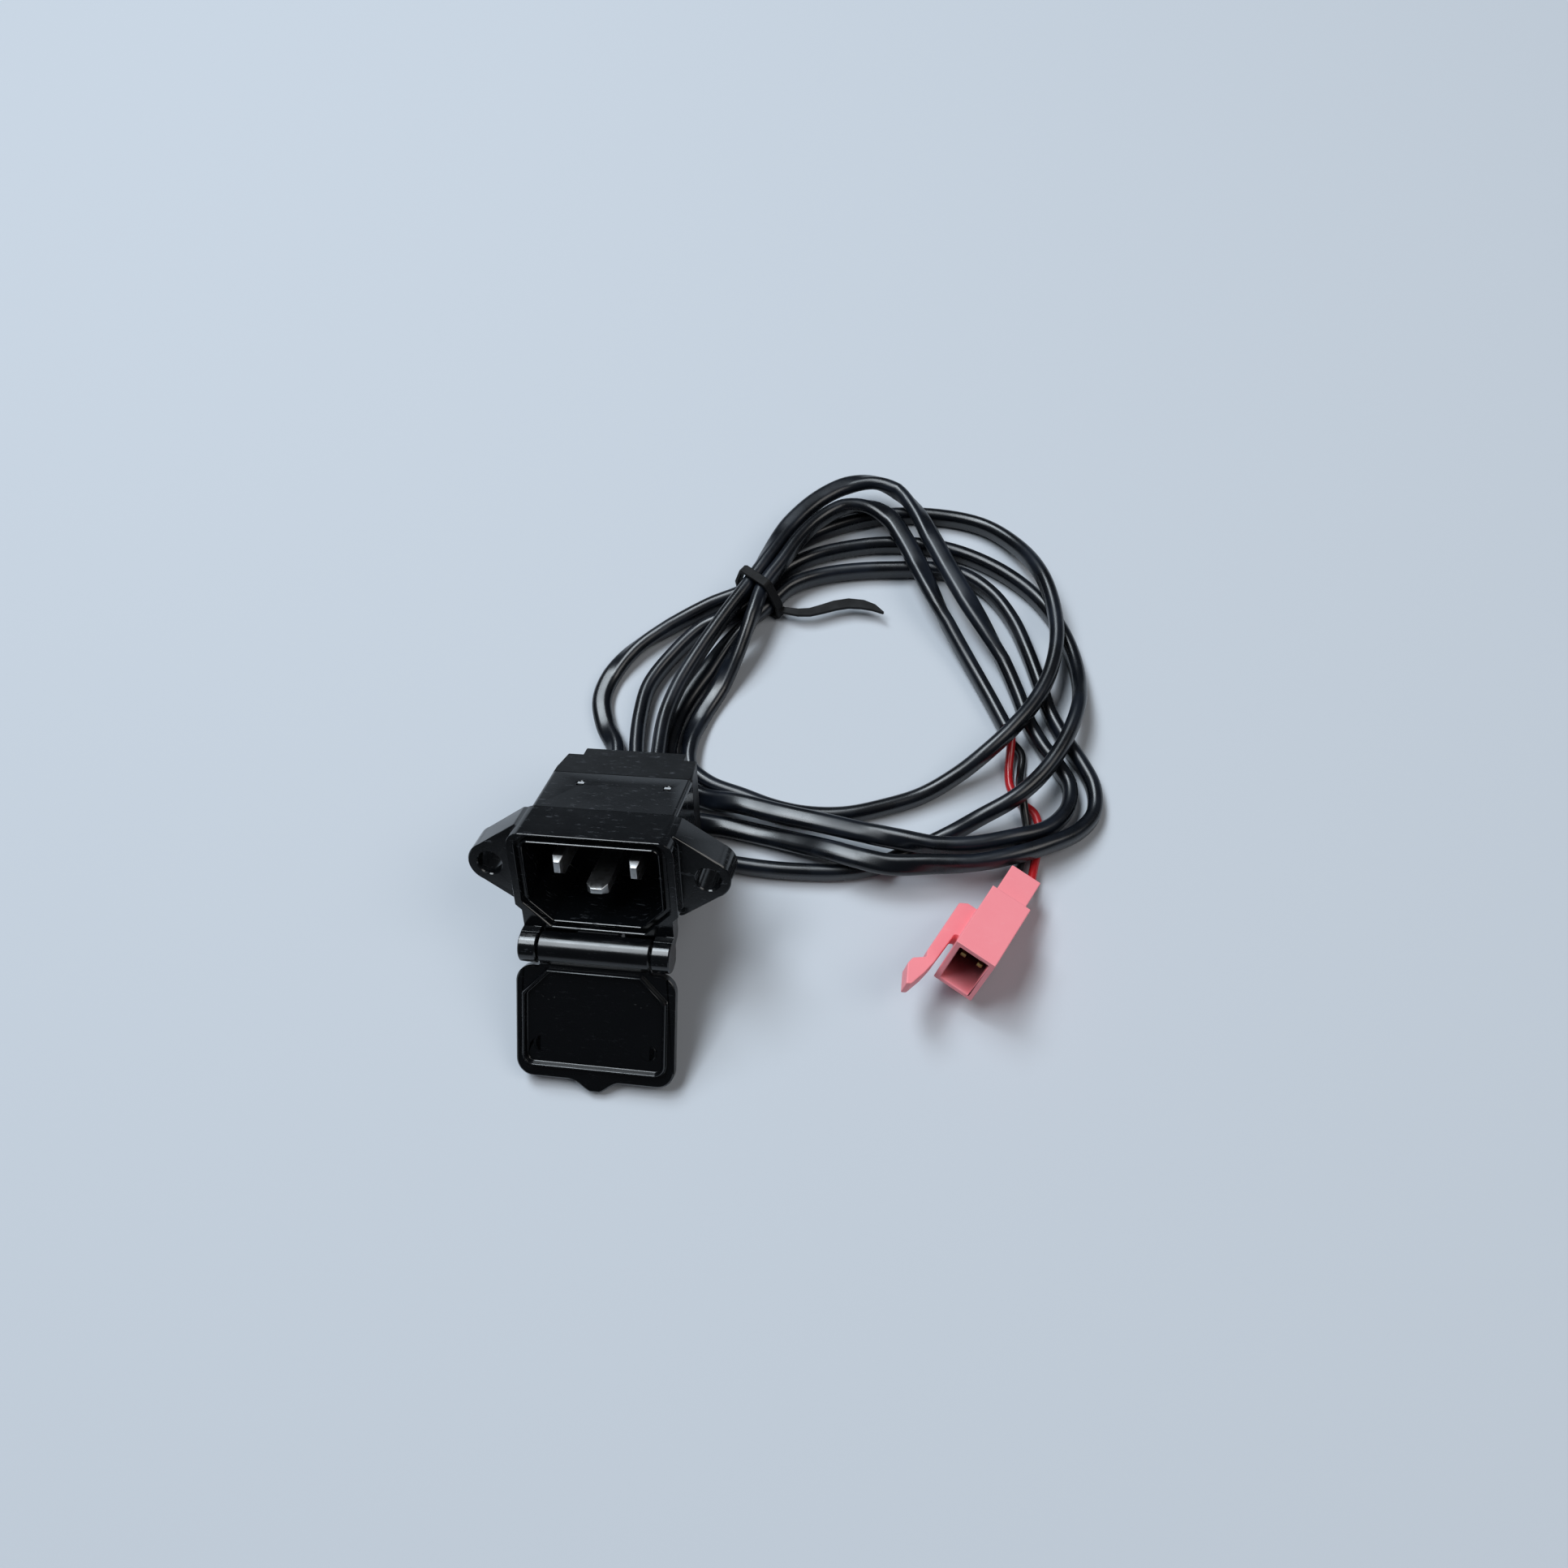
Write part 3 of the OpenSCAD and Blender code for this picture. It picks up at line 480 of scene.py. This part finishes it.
# pale colour of the snap lug tips: a painted highlight standing in for their glint
LUG_TIP_HIGHLIGHT = MouldedPlastic("painted_highlight_nylon", "#c9cccf", "#9fa3a7", rough=(0.5, 0.65),
                          mottle_mm=0.6)
# coral polyamide of the plug: dense colour, low gloss, with painted shade deep in its open front
CORAL = MouldedPlastic("coral_polyamide", "#fe989f", "#f88a92", rough=(0.36, 0.5),
                       grain_depth_mm=0.008, scuff="#fdb4ba", scuff_share=0.25, painted_recess_shade="#1a0a0c")
# bright nickel on brass blades
NICKEL = PlatedMetal("bright_nickel_plate", "#d4d6d8", "#bcbdbc", rough=(0.3, 0.42))
# drawn steel of the hinge pin
STEEL = PlatedMetal("drawn_steel", "#a4a7ab", "#84868a", rough=(0.28, 0.45))
# tinned brass of the plug's contacts
BRASS = PlatedMetal("plated_brass", "#8f7c4e", "#6f5f3a", rough=(0.35, 0.5))
# soft PVC jacket of the lead
JACKET = CableJacket("glossy_black_pvc_jacket", "#080b10", "#131923", rough=(0.24, 0.36))
# PVC insulation of the two cores
RED_CORE = CableJacket("red_pvc_insulation", "#ac181e", "#c02c31", rough=(0.26, 0.4))
BLACK_CORE = CableJacket("black_pvc_insulation", "#0b0c0e", "#131417", rough=(0.26, 0.4))


# places


@dataclass(frozen=True)
class Seat:
    """Where the socket's own frame lies on the table: it leans back on its lead."""

    tilt_deg: float = 31.47955
    y: float = -1.18341
    z: float = 27.36101

    def matrix(self) -> Matrix:
        """Turns socket millimetres into row-frame metres."""
        lean = Matrix.Rotation(math.radians(-self.tilt_deg), 4, "X")
        return Matrix.Scale(MM, 4) @ Matrix.Translation((0, self.y, self.z)) @ lean

    def at(self, point: Point) -> Vector:
        """Row-frame place, in metres, of a socket point in millimetres."""
        return self.matrix() @ Vector(point)


@dataclass(frozen=True)
class PlugPlace:
    """Where the plug's own frame lies on the table."""

    at_mm: Point = (70.8, 7.6, 6.8)
    turn_deg: Point = (-11, -18, 246)

    def matrix(self) -> Matrix:
        """Turns plug millimetres into row-frame metres."""
        roll, pitch, heading = (math.radians(a) for a in self.turn_deg)
        turn = (Matrix.Rotation(heading, 4, "Z") @ Matrix.Rotation(pitch, 4, "Y")
                @ Matrix.Rotation(roll, 4, "X"))
        return Matrix.Scale(MM, 4) @ Matrix.Translation(self.at_mm) @ turn

    def at(self, point: Point) -> Vector:
        """Row-frame place, in metres, of a plug point in millimetres."""
        return self.matrix() @ Vector(point)


# repeated and swept shapes


@dataclass
class SweepTree:
    """Geometry Nodes tree that sweeps a cross-section along a polyline."""

    section: Section

    def make(self) -> bpy.types.NodeTree:
        """Builds the tree with its named inputs.

        Returns:
            The node group.
        """
        tree = bpy.data.node_groups.new(f"sweep_{self.section.value}", "GeometryNodeTree")
        face = tree.interface
        face.new_socket("Geometry", in_out="INPUT", socket_type="NodeSocketGeometry")
        face.new_socket("Across", in_out="INPUT", socket_type="NodeSocketFloat")
        face.new_socket("Upright", in_out="INPUT", socket_type="NodeSocketFloat")
        face.new_socket("Finish", in_out="INPUT", socket_type="NodeSocketMaterial")
        face.new_socket("Geometry", in_out="OUTPUT", socket_type="NodeSocketGeometry")
        given = add_node(tree, "NodeGroupInput").outputs
        line = add_node(tree, "GeometryNodeMeshToCurve", {}, {"Mesh": given["Geometry"]})
        level = add_node(tree, "GeometryNodeSetCurveNormal", {"mode": "Z_UP"}, {"Curve": line.outputs[0]})
        roll = add_node(tree, "GeometryNodeInputNamedAttribute", {"data_type": "FLOAT"}, {
            "Name": "roll"})
        turned = add_node(tree, "GeometryNodeSetCurveTilt", {}, {
            "Curve": level.outputs[0], "Tilt": roll.outputs[0]})
        if self.section is Section.FLAT:
            box = add_node(tree, "GeometryNodeCurvePrimitiveQuadrilateral", {"mode": "RECTANGLE"}, {
                "Width": given["Across"], "Height": given["Upright"]})
            corner = add_node(tree, "ShaderNodeMath", {"operation": "MULTIPLY"}, {
                0: given["Across"], 1: 0.49})
            edge = add_node(tree, "GeometryNodeFilletCurve", {"mode": "POLY"}, {
                "Curve": box.outputs[0], "Count": 6, "Radius": corner.outputs[0]}).outputs[0]
        else:
            half = add_node(tree, "ShaderNodeMath", {"operation": "MULTIPLY"}, {
                0: given["Across"], 1: 0.5})
            edge = add_node(tree, "GeometryNodeCurvePrimitiveCircle", {"mode": "RADIUS"}, {
                "Resolution": 16, "Radius": half.outputs[0]}).outputs[0]
        tube = add_node(tree, "GeometryNodeCurveToMesh", {}, {
            "Curve": turned.outputs[0], "Profile Curve": edge, "Fill Caps": True})
        soft = add_node(tree, "GeometryNodeSetShadeSmooth", {}, {0: tube.outputs[0]})
        real = add_node(tree, "GeometryNodeRealizeInstances", {}, {0: soft.outputs[0]})
        done = add_node(tree, "GeometryNodeSetMaterial", {}, {
            "Geometry": real.outputs[0], "Material": given["Finish"]})
        add_node(tree, "NodeGroupOutput", {}, {0: done.outputs[0]})
        return tree


def run_tree(tree: bpy.types.NodeTree, path: Sequence[Vector], values: dict[str, Any],
             rolls: Sequence[float] = ()) -> bpy.types.Mesh:
    """Runs a tree on a polyline and returns the plain mesh.

    Args:
        tree: Node group whose first input is the polyline.
        path: Points of the polyline, in metres.
        values: Values of the tree's named inputs.
        rolls: Roll of the section at each point, in radians; none means upright.

    Returns:
        The resulting mesh.
    """
    line = bpy.data.meshes.new("route")
    line.from_pydata([tuple(p) for p in path], [(i, i + 1) for i in range(len(path) - 1)], [])
    if rolls:
        line.attributes.new("roll", "FLOAT", "POINT").data.foreach_set("value", rolls)
    holder = link(bpy.data.objects.new("route", line))
    modifier = holder.modifiers.new("tree", "NODES")
    modifier.node_group = tree
    ids = {item.name: item.identifier for item in tree.interface.items_tree
           if item.item_type == "SOCKET" and item.in_out == "INPUT"}
    for name, value in values.items():
        modifier[ids[name]] = value
    return evaluated_mesh(holder)


# sub-assemblies


@dataclass
class InletBody:
    """Moulded inlet with its rear cap, snap lugs and strain relief."""

    seat: Seat
    edge: float = 0.2
    sharp_edge: float = 0.08
    relief_edge: float = 0.3
    cavity: tuple[float, float] = (24.2, 16.2)
    rim_front: float = 0.3
    rim_out: float = 1.7
    window_x: tuple[float, float] = (-6.8, 9.6)
    window_y: float = 18.6
    tip_z: float = 9.56
    tip: Point = (1.22, 0.56, 0.1)
    tip_edge: float = 0.04

    def build(self) -> list[bpy.types.Object]:
        """Builds and dresses the pieces.

        Returns:
            The pieces made.
        """
        moulded = rounded_copy("inlet_housing", self.edge, 1, self.rim_width)
        shell = new_piece("inlet_shell", moulded, HOUSING.make())
        cap = new_piece("rear_cap_shell", rounded_copy("rear_cap", self.edge, 1), CAP.make())
        rubber = rounded_copy("strain_relief", self.relief_edge, 3)
        relief = new_piece("strain_relief_plug", rubber, RELIEF.make())
        return [
            settle(shell, Body.SOCKET, "housing_plastic", "inlet_housing"),
            settle(cap, Body.SOCKET, "cap_plastic", "rear_cap"),
            settle(relief, Body.SOCKET, "relief_rubber", "strain_relief"),
            settle(self.snap_tip_highlights(), Body.SOCKET, "cap_plastic"),
        ]

    def rim_width(self, place: Vector) -> float:
        """Edge rounding by place: the rim's outer edge is sharper than its lips.

        Args:
            place: Point of the housing, in metres.

        Returns:
            Rounding in millimetres.
        """
        spot = self.seat.matrix().inverted() @ place
        out = max(abs(spot.x) - self.cavity[0] / 2, abs(spot.z) - self.cavity[1] / 2)
        outer_rim = abs(spot.y) < self.rim_front and out > self.rim_out
        return self.sharp_edge if outer_rim else self.edge

    def snap_tip_highlights(self) -> bpy.types.Object:
        """Pale tips of the cap's snap lugs, seen in the housing's windows; the pale colour is a painted
        highlight.

        Returns:
            One piece with both tips.
        """
        shape = bmesh.new()
        for x in self.window_x:
            size = Matrix.Diagonal((*self.tip, 1.0))
            place = self.seat.matrix() @ Matrix.Translation((x, self.window_y, self.tip_z)) @ size
            bmesh.ops.create_cube(shape, size=1.0, matrix=place)
        bmesh.ops.bevel(shape, geom=shape.edges[:], offset=self.tip_edge * MM, segments=2, profile=0.5,
                        affect="EDGES")
        mesh = bpy.data.meshes.new("snap_lug_tip_highlights")
        shape.to_mesh(mesh)
        shape.free()
        return new_piece("snap_lug_tip_highlights", mesh, LUG_TIP_HIGHLIGHT.make())


@dataclass
class BladeSet:
    """Three contact blades, their solder sleeves and the cores inside the cap."""

    edge: float = 0.14
    blades: tuple[str, ...] = ("line_pin", "neutral_pin", "earth_pin")

    def build(self) -> list[bpy.types.Object]:
        """Builds and dresses the pieces.

        Returns:
            The pieces made.
        """
        nickel = NICKEL.make()
        made = []
        for node in self.blades:
            piece = new_piece(node.replace("_pin", "_blade"), rounded_copy(node, self.edge), nickel)
            made.append(settle(piece, Body.SOCKET, "blade_nickel", node))
        return made

    def dress(self) -> None:
        """Gives the hidden wiring nodes their finishes."""
        paint("line_sleeve", SLEEVE.make())
        paint("neutral_sleeve", SLEEVE.make())
        paint("red_core", RED_CORE.make())
        paint("black_core", BLACK_CORE.make())


@dataclass
class FlipCover:
    """Dust cover with its sealing tongue and hinge pin."""

    seat: Seat
    edge: float = 0.3
    fine_edge: float = 0.24
    mark_edge: float = 0.06
    pin_edge: float = 0.2
    open_deg: float = 160.0
    axis: Point = (0.0, -2.0, -12.8)
    tongue_y: float = -0.95
    tongue_x: float = 13.6
    tongue_z: tuple[float, float] = (-9.0, 11.0)
    marks: tuple[float, float] = (11.2, 7.6)

    def closed(self) -> Matrix:
        """Turns a row-frame place into millimetres of the closed cover."""
        hinge = Matrix.Translation(self.axis)
        swing = hinge @ Matrix.Rotation(math.radians(self.open_deg), 4, "X") @ hinge.inverted()
        return (self.seat.matrix() @ swing).inverted()

    def build(self) -> list[bpy.types.Object]:
        """Builds and dresses the pieces.

        Returns:
            The pieces made.
        """
        back = self.closed()

        def width_at(place: Vector) -> float:
            """Edge rounding: smaller on the tongue and smallest on the plate's mould marks."""
            spot = back @ place
            if abs(spot.x) < self.marks[0] and abs(spot.z) < self.marks[1]:
                return self.mark_edge
            low, high = self.tongue_z
            tongue = spot.y > self.tongue_y and abs(spot.x) < self.tongue_x and low < spot.z < high
            return self.fine_edge if tongue else self.edge

        mesh = rounded_copy("flip_cover", self.edge, 1, width_at)
        plate = new_piece("flip_cover_plate", mesh, COVER.make())
        pin = new_piece("hinge_rod", rounded_copy("hinge_pin", self.pin_edge), STEEL.make())
        return [settle(plate, Body.COVER, "cover_plastic", "flip_cover"),
                settle(pin, Body.SOCKET, "pin_steel", "hinge_pin")]


@dataclass
class LatchPlug:
    """Two-way plug with its latch arm and contacts."""

    place: PlugPlace
    edge: float = 0.25
    contact_edge: float = 0.12
    length: float = 15.0
    opening: Point = (9.0, 5.8, 10.8)
    slack: float = 0.1
    shade_rise: float = 1.5
    shade_start: float = 0.2

    def build(self) -> list[bpy.types.Object]:
        """Builds and dresses the pieces.

        Returns:
            Housing, red contact and black contact.
        """
        housing = self.painted_recess_shade(rounded_copy("plug_housing", self.edge, 3))
        shell = new_piece("plug_shell", housing, CORAL.make())
        brass = BRASS.make()
        red = new_piece("plug_contact_red", rounded_copy("red_contact", self.contact_edge), brass)
        black = new_piece("plug_contact_black", rounded_copy("black_contact", self.contact_edge), brass)
        return [settle(shell, Body.SOCKET, "plug_coral", "plug_housing"),
                settle(red, Body.SOCKET, "contact_brass", "red_contact"),
                settle(black, Body.SOCKET, "contact_brass", "black_contact")]

    def painted_recess_shade(self, mesh: bpy.types.Mesh) -> bpy.types.Mesh:
        """Measures at each point how deep it lies in the open front, as the share of painted shade there.

        Args:
            mesh: Mesh of the housing.

        Returns:
            The same mesh, with the measure as an attribute.
        """
        back = self.place.matrix().inverted()
        deep, wide, high = self.opening
        shares = []
        for vertex in mesh.vertices:
            spot = back @ vertex.co
            across = abs(spot.y) < wide / 2 + self.slack and abs(spot.z) < high / 2 + self.slack
            # painted shade: the share grows deeper into the open front
            shade_share = (self.length - spot.x) / deep * self.shade_rise - self.shade_start
            shares.append(max(0.0, min(1.0, shade_share)) if across and spot.x > 0 else 0.0)
        mesh.attributes.new("depth", "FLOAT", "POINT").data.foreach_set("value", shares)
        return mesh


@dataclass
class StrapTie:
    """Cable tie round the waist of the coil."""

    edge: float = 0.18

    def build(self) -> list[bpy.types.Object]:
        """Builds and dresses the strap.

        Returns:
            The strap.
        """
        strap = new_piece("cable_tie_strap", rounded_copy("cable_tie", self.edge), STRAP.make())
        return [settle(strap, Body.SOCKET, "tie_nylon", "cable_tie")]


@dataclass
class CoiledLead:
    """Flat two-core lead in loose turns, with its two free wires."""

    seat: Seat
    plug: PlugPlace
    width: float = 4.2
    thickness: float = 2.9
    core: float = 1.7
    exit_mm: Point = (2.0, 33.0, 0.0)
    straight: float = 3.5
    wire_gap: float = 0.95
    neck: float = 9.0
    wire_pitch: float = 3.4
    wire_out: float = 2.5
    wire_in: float = 1.2
    steps: int = 6
    route: tuple[Point, ...] = (
        (1.4, 36, 7.5), (1.2, 45, 7.2), (2.8, 53, 7.3), (6, 61.5, 7.5), (10, 70.5, 7.7),
        (14.5, 79.9, 7.7), (17.2, 87, 7.7), (20.8, 95.4, 7.5), (26.4, 103, 7.2), (32.2, 107.2, 7),
        (38, 108.4, 6.8), (43.4, 106.2, 6.6), (48, 100.8, 6.6), (52, 93.5, 6.6), (56, 86, 6.6),
        (60.2, 78.6, 6.4), (64.4, 72.2, 5), (68.6, 65.6, 3), (72, 58.2, 2.1), (74.4, 51.8, 2.1),
        (77.4, 46.4, 2.1), (80.6, 42, 2.1), (83, 37.4, 2.3), (82.6, 32.2, 3), (79, 27.2, 4.4),
        (72.5, 23.9, 6.2), (64.4, 21.5, 6.6), (57.8, 21.1, 6.6), (51.6, 21.6, 6.6), (44.4, 22.6, 6.6),
        (36.2, 24, 6.6), (27.4, 25.6, 6.2), (19, 27.4, 5.7), (11.4, 29.4, 3), (5.9, 32.6, 2.1),
        (2.7, 37.4, 2.1), (1.8, 43.5, 2.1), (2.6, 50.6, 1.5), (6.6, 60, 1.5), (12, 69.4, 2.6),
        (18.5, 77.2, 3.2), (22.4, 82.2, 3), (28.4, 85.6, 2.4), (36.5, 87.6, 2.1), (45.6, 88.4, 2.1),
        (52.7, 88.6, 2.1), (59.4, 87.2, 2.1), (65.4, 82.8, 2.1), (70.2, 76.1, 2.1), (73.6, 68.4, 2.1),
        (76.4, 60.6, 2.1), (78.6, 54.2, 2.1), (81.6, 48.4, 2.1), (85, 43.1, 2.1), (87.6, 37.6, 2.1),
        (87.7, 32, 2.4), (84.8, 27.4, 3.4), (78.9, 23.2, 5.2), (71.9, 19.8, 6.4), (65.2, 17.8, 6.7),
        (57.4, 16.9, 6.8), (50, 16.2, 6.8), (44, 17, 6.9), (38, 18.6, 6.1), (32, 20.4, 4.2),
        (24.5, 22.4, 2.4), (16, 23.8, 2.1), (8, 24.6, 2.1), (1.6, 26.8, 2.1), (-2.4, 30.8, 2.1),
        (-4.2, 36.4, 2.1), (-5.2, 42, 2.1), (-5.6, 48.6, 2.1), (-5, 55.4, 2.1), (-1.4, 63, 2.1),
        (4.2, 70.4, 2.4), (9.4, 73.4, 2.9), (13.1, 75.9, 3.2), (15.8, 79, 3.2), (19.3, 85, 3.1),
        (25.6, 90.4, 2.4), (34, 93.6, 2.1), (42.8, 95, 2.1), (54.6, 94.2, 2.1), (65.4, 89.8, 2.1),
        (74, 83.2, 2.1), (79.6, 75.6, 2.1), (82.9, 67.9, 2.1), (84.2, 60, 3.6), (83.8, 53, 6.2),
        (81.4, 45, 6.7), (77.2, 37.4, 6.6), (72.2, 32, 6.5), (66.3, 28.4, 5), (61, 25.6, 2.8),
        (56.4, 23, 2.1), (51.4, 20.2, 2.1), (46.4, 17.4, 2.1), (40, 15.9, 2.1), (33, 15.4, 2.1),
        (26, 15.4, 2.1), (18, 16, 2.1), (10, 17.2, 2.1), (2.6, 19.6, 2.1), (-3.2, 23.6, 2.1),
        (-6.8, 29, 2.1), (-8.2, 35, 2.1), (-9.6, 40.4, 2.1), (-12.8, 45.6, 1.5), (-14.8, 51.8, 1.5),
        (-13.8, 58, 1.5), (-9.8, 64.4, 2.1), (-2.9, 70.6, 2.3), (5, 76.2, 2.8), (13.1, 80.8, 3.2),
        (16.2, 87.2, 3.2), (20.8, 92.6, 3), (28, 98.2, 2.2), (38.6, 102.4, 2.1), (50.8, 103.2, 2.1),
        (62.2, 100.8, 2.4), (70.1, 94.6, 3.6), (75.6, 85.4, 6.2), (78.4, 76.6, 6.6), (79.2, 69, 6.6),
        (78.1, 60.9, 6.6), (75.4, 54, 6.6), (71.3, 47.6, 6.6), (66.3, 42.1, 5.6), (61, 37.8, 3.6),
        (54.4, 33.6, 2.1), (47, 30.4, 2.1), (39.5, 28.2, 2.1), (32, 27.8, 2.1), (25.4, 28.8, 2.1),
        (19, 30.8, 2.1), (11.6, 33.2, 2.1), (7.1, 36.8, 2.1), (6, 42.2, 2.1), (7.2, 48.8, 1.5),
        (10.2, 56, 2), (13.4, 63.6, 5), (15.7, 70.6, 7.4), (17.1, 78.1, 7.7), (20.2, 84.6, 7.7),
        (23.6, 92, 7.5), (27.4, 97.4, 7.2), (32, 101, 7), (37.4, 101.6, 6.8), (42.2, 98.8, 6.7),
        (46, 93.2, 6.6), (49.4, 86.8, 6.6), (52.9, 79.8, 6.2), (56.8, 73, 4.6), (61.6, 65.2, 2.8),
        (66, 57.6, 2.1), (70, 50, 2.1))
    red_route: tuple[Point, ...] = (
        (71.2, 44.8, 2.4), (71.1, 41, 1), (71.6, 37.4, 0.95), (73.4, 34.4, 0.95), (76.4, 32, 0.95),
        (77.6, 28.4, 0.95), (77.4, 24, 1.3), (76.9, 20.4, 2.6))
    black_route: tuple[Point, ...] = (
        (73.4, 44.8, 1), (73.5, 41, 1), (73.4, 37.8, 2.2), (73.9, 34.8, 3), (74.5, 31.6, 2.4),
        (75.3, 28, 1), (75.1, 24, 1.3), (74.4, 20.8, 2.5), (73.9, 18.7, 3.4))
    # number of a route point, counted from the exit, and the lead's roll there in degrees
    rolls: tuple[tuple[int, float], ...] = (
        (7, 0), (9, 90), (11, 90), (13, 0), (15, 90), (17, 90), (19, 0), (29, 0), (31, 90),
        (34, 90), (36, 0), (37, 0), (39, 90), (40, 90), (42, 0), (61, 0), (64, 90), (68, 90),
        (70, 0), (108, 0), (110, 90), (112, 90), (114, 0), (139, 0), (141, 90), (142, 90), (144, 0),
        (149, 0), (151, 90), (153, 90), (155, 0))

    def roll_at(self, spot: float) -> float:
        """Roll of the lead, in radians, at a place counted in route points."""
        for (low, first), (high, last) in zip(self.rolls, self.rolls[1:]):
            if low <= spot <= high:
                return math.radians(first + (last - first) * (spot - low) / (high - low))
        return 0.0

    def lead_points(self) -> list[Vector]:
        """Smooth path of the lead's middle, in metres."""
        start = self.seat.at(self.exit_mm)
        out = (self.seat.at((self.exit_mm[0], self.exit_mm[1] + 1, 0)) - start).normalized()
        points = [start, start + out * self.straight * MM, *to_metres(self.route)]
        return smooth_route(points, self.steps)

    def wire_points(self, side: int, middle: Sequence[Point]) -> list[Vector]:
        """Smooth path of one free wire.

        Args:
            side: 1 for the red wire, -1 for the black one.
            middle: Route points between jacket and plug.

        Returns:
            Points of the wire's middle, in metres.
        """
        before, end = to_metres(self.route[-2:])
        ahead = (end - before).normalized()
        start = end + Vector((0, 0, side * self.wire_gap * MM))
        finish = self.plug.at((-self.neck, side * self.wire_pitch / 2, 0))
        facing = (self.plug.at((1, 0, 0)) - self.plug.at((0, 0, 0))).normalized()
        return smooth_route([start, start + ahead * self.wire_out * MM, *to_metres(middle),
                             finish - facing * self.wire_in * MM, finish], self.steps)

    def build(self, plug_pieces: list[bpy.types.Object],
              tie: bpy.types.Object) -> list[bpy.types.Object]:
        """Args:
            plug_pieces: Plug housing, red contact and black contact.
            tie: Strap round the coil; not used.

        Returns:
            Lead, red wire and black wire.
        """
        flat = SweepTree(Section.FLAT).make()
        round_tree = SweepTree(Section.ROUND).make()
        jacket = JACKET.make()
        path = self.lead_points()
        sizes = {"Across": self.thickness * MM, "Upright": self.width * MM, "Finish": jacket}
        rolls = [self.roll_at(i / self.steps) for i in range(len(path))]
        lead = new_piece("flat_lead", run_tree(flat, path, sizes, rolls), jacket)
        settle(lead, Body.SOCKET, "lead_jacket", "lead")
        made = [lead]
        shell, red_contact, black_contact = plug_pieces
        for colour, side, middle, finish, carried in (
                ("red", 1, self.red_route, RED_CORE, [shell, red_contact]),
                ("black", -1, self.black_route, BLACK_CORE, [black_contact])):
            line = self.wire_points(side, middle)
            skin = finish.make()
            sizes = {"Across": self.core * MM, "Upright": self.core * MM, "Finish": skin}
            wire = new_piece(f"{colour}_lead_wire", run_tree(round_tree, line, sizes), skin)
            settle(wire, Body.SOCKET, f"core_{colour}", f"{colour}_wire")
            made.append(wire)
        return made


@dataclass(frozen=True)
class Softbox:
    """Flat lamp that faces the object; place and sides are in metres, the tint is linear."""

    name: str
    place: Point
    size: tuple[float, float]
    watts: float
    tint: Point
    aim: Point = (0.03, 0.04, 0.0)

    def hang(self) -> None:
        """Adds the lamp to the scene."""
        data = bpy.data.lights.new(self.name, "AREA")
        data.shape = "RECTANGLE"
        data.size, data.size_y = self.size
        data.energy = self.watts
        data.color = self.tint
        lamp = link(bpy.data.objects.new(self.name, data))
        lamp.location = self.place
        toward = Vector(self.aim) - Vector(self.place)
        lamp.rotation_euler = toward.to_track_quat("-Z", "Y").to_euler()


@dataclass
class Studio:
    """Camera of the photograph, a pale floor and soft light."""

    eye_mm: Point = (66.248, -83.264, 232.316)
    right: Point = (0.98642, 0.12633, -0.10492)
    down: Point = (0.06409, -0.88439, -0.46232)
    forward: Point = (-0.1512, 0.44932, -0.88048)
    focal_share: float = 1600 / 1932
    sensor: float = 36.0
    floor_hex: str = "#c3c8cf"
    floor_rough: float = 0.75
    floor_m: tuple[tuple[float, float], ...] = ((-2.5, -0.24), (2.5, 3.0))
    room_tint: tuple[float, float, float, float] = (0.8, 0.88, 1.0, 1.0)
    room_strength: float = 0.06
    lamps: tuple[Softbox, ...] = (
        Softbox("window_light", (-0.5, 0.76, 1.36), (0.55, 0.55), 11.5, (0.82, 0.92, 1.0)),
        Softbox("room_fill", (0.95, -0.1, 1.2), (0.8, 0.8), 5.6, (1.0, 0.98, 0.95)),
        Softbox("ceiling_light", (-0.41, 0.18, 1.36), (0.9, 0.45), 12.5, (0.87, 0.94, 1.0)))

    def camera(self) -> None:
        """Sets the camera at the photograph's viewing angle."""
        data = bpy.data.cameras.new("photo_camera")
        data.sensor_width = self.sensor
        data.lens = self.focal_share * self.sensor
        data.clip_start = 0.01
        camera = link(bpy.data.objects.new("photo_camera", data))
        axes = Matrix((self.right, [-v for v in self.down], [-v for v in self.forward])).transposed()
        camera.matrix_world = Matrix.Translation(Vector(self.eye_mm) * MM) @ axes.to_4x4()
        bpy.context.scene.camera = camera

    def light(self) -> None:
        """Sets the floor, the lamps and the world."""
        scene = bpy.context.scene
        scene.view_settings.view_transform = "Standard"
        floor_mesh = bpy.data.meshes.new("floor")
        (left, front), (right, back) = self.floor_m
        corners = [(left, front, 0), (right, front, 0), (right, back, 0), (left, back, 0)]
        floor_mesh.from_pydata(corners, [], [(0, 1, 2, 3)])
        skin, tree = open_material("pale_floor")
        close_material(tree, {"Base Color": linear(self.floor_hex), "Roughness": self.floor_rough})
        new_piece("floor", floor_mesh, skin)
        world = bpy.data.worlds.new("soft_room")
        scene.world = world
        world.use_nodes = True
        world.node_tree.nodes.clear()
        sky = add_node(world.node_tree, "ShaderNodeBackground", {}, {
            "Color": self.room_tint, "Strength": self.room_strength})
        add_node(world.node_tree, "ShaderNodeOutputWorld", {}, {"Surface": sky.outputs[0]})
        for lamp in self.lamps:
            lamp.hang()


def main() -> None:
    """Builds every sub-assembly in order."""
    logging.basicConfig(level=logging.INFO, format="%(name)s: %(message)s")
    studio = Studio()
    studio.camera()
    seat, place = Seat(), PlugPlace()
    plug_pieces = LatchPlug(place).build()
    tie = StrapTie().build()[0]
    CoiledLead(seat, place).build(plug_pieces, tie)
    InletBody(seat).build()
    blades = BladeSet()
    blades.build()
    blades.dress()
    FlipCover(seat).build()
    studio.light()


if __name__ == "__main__":
    main()
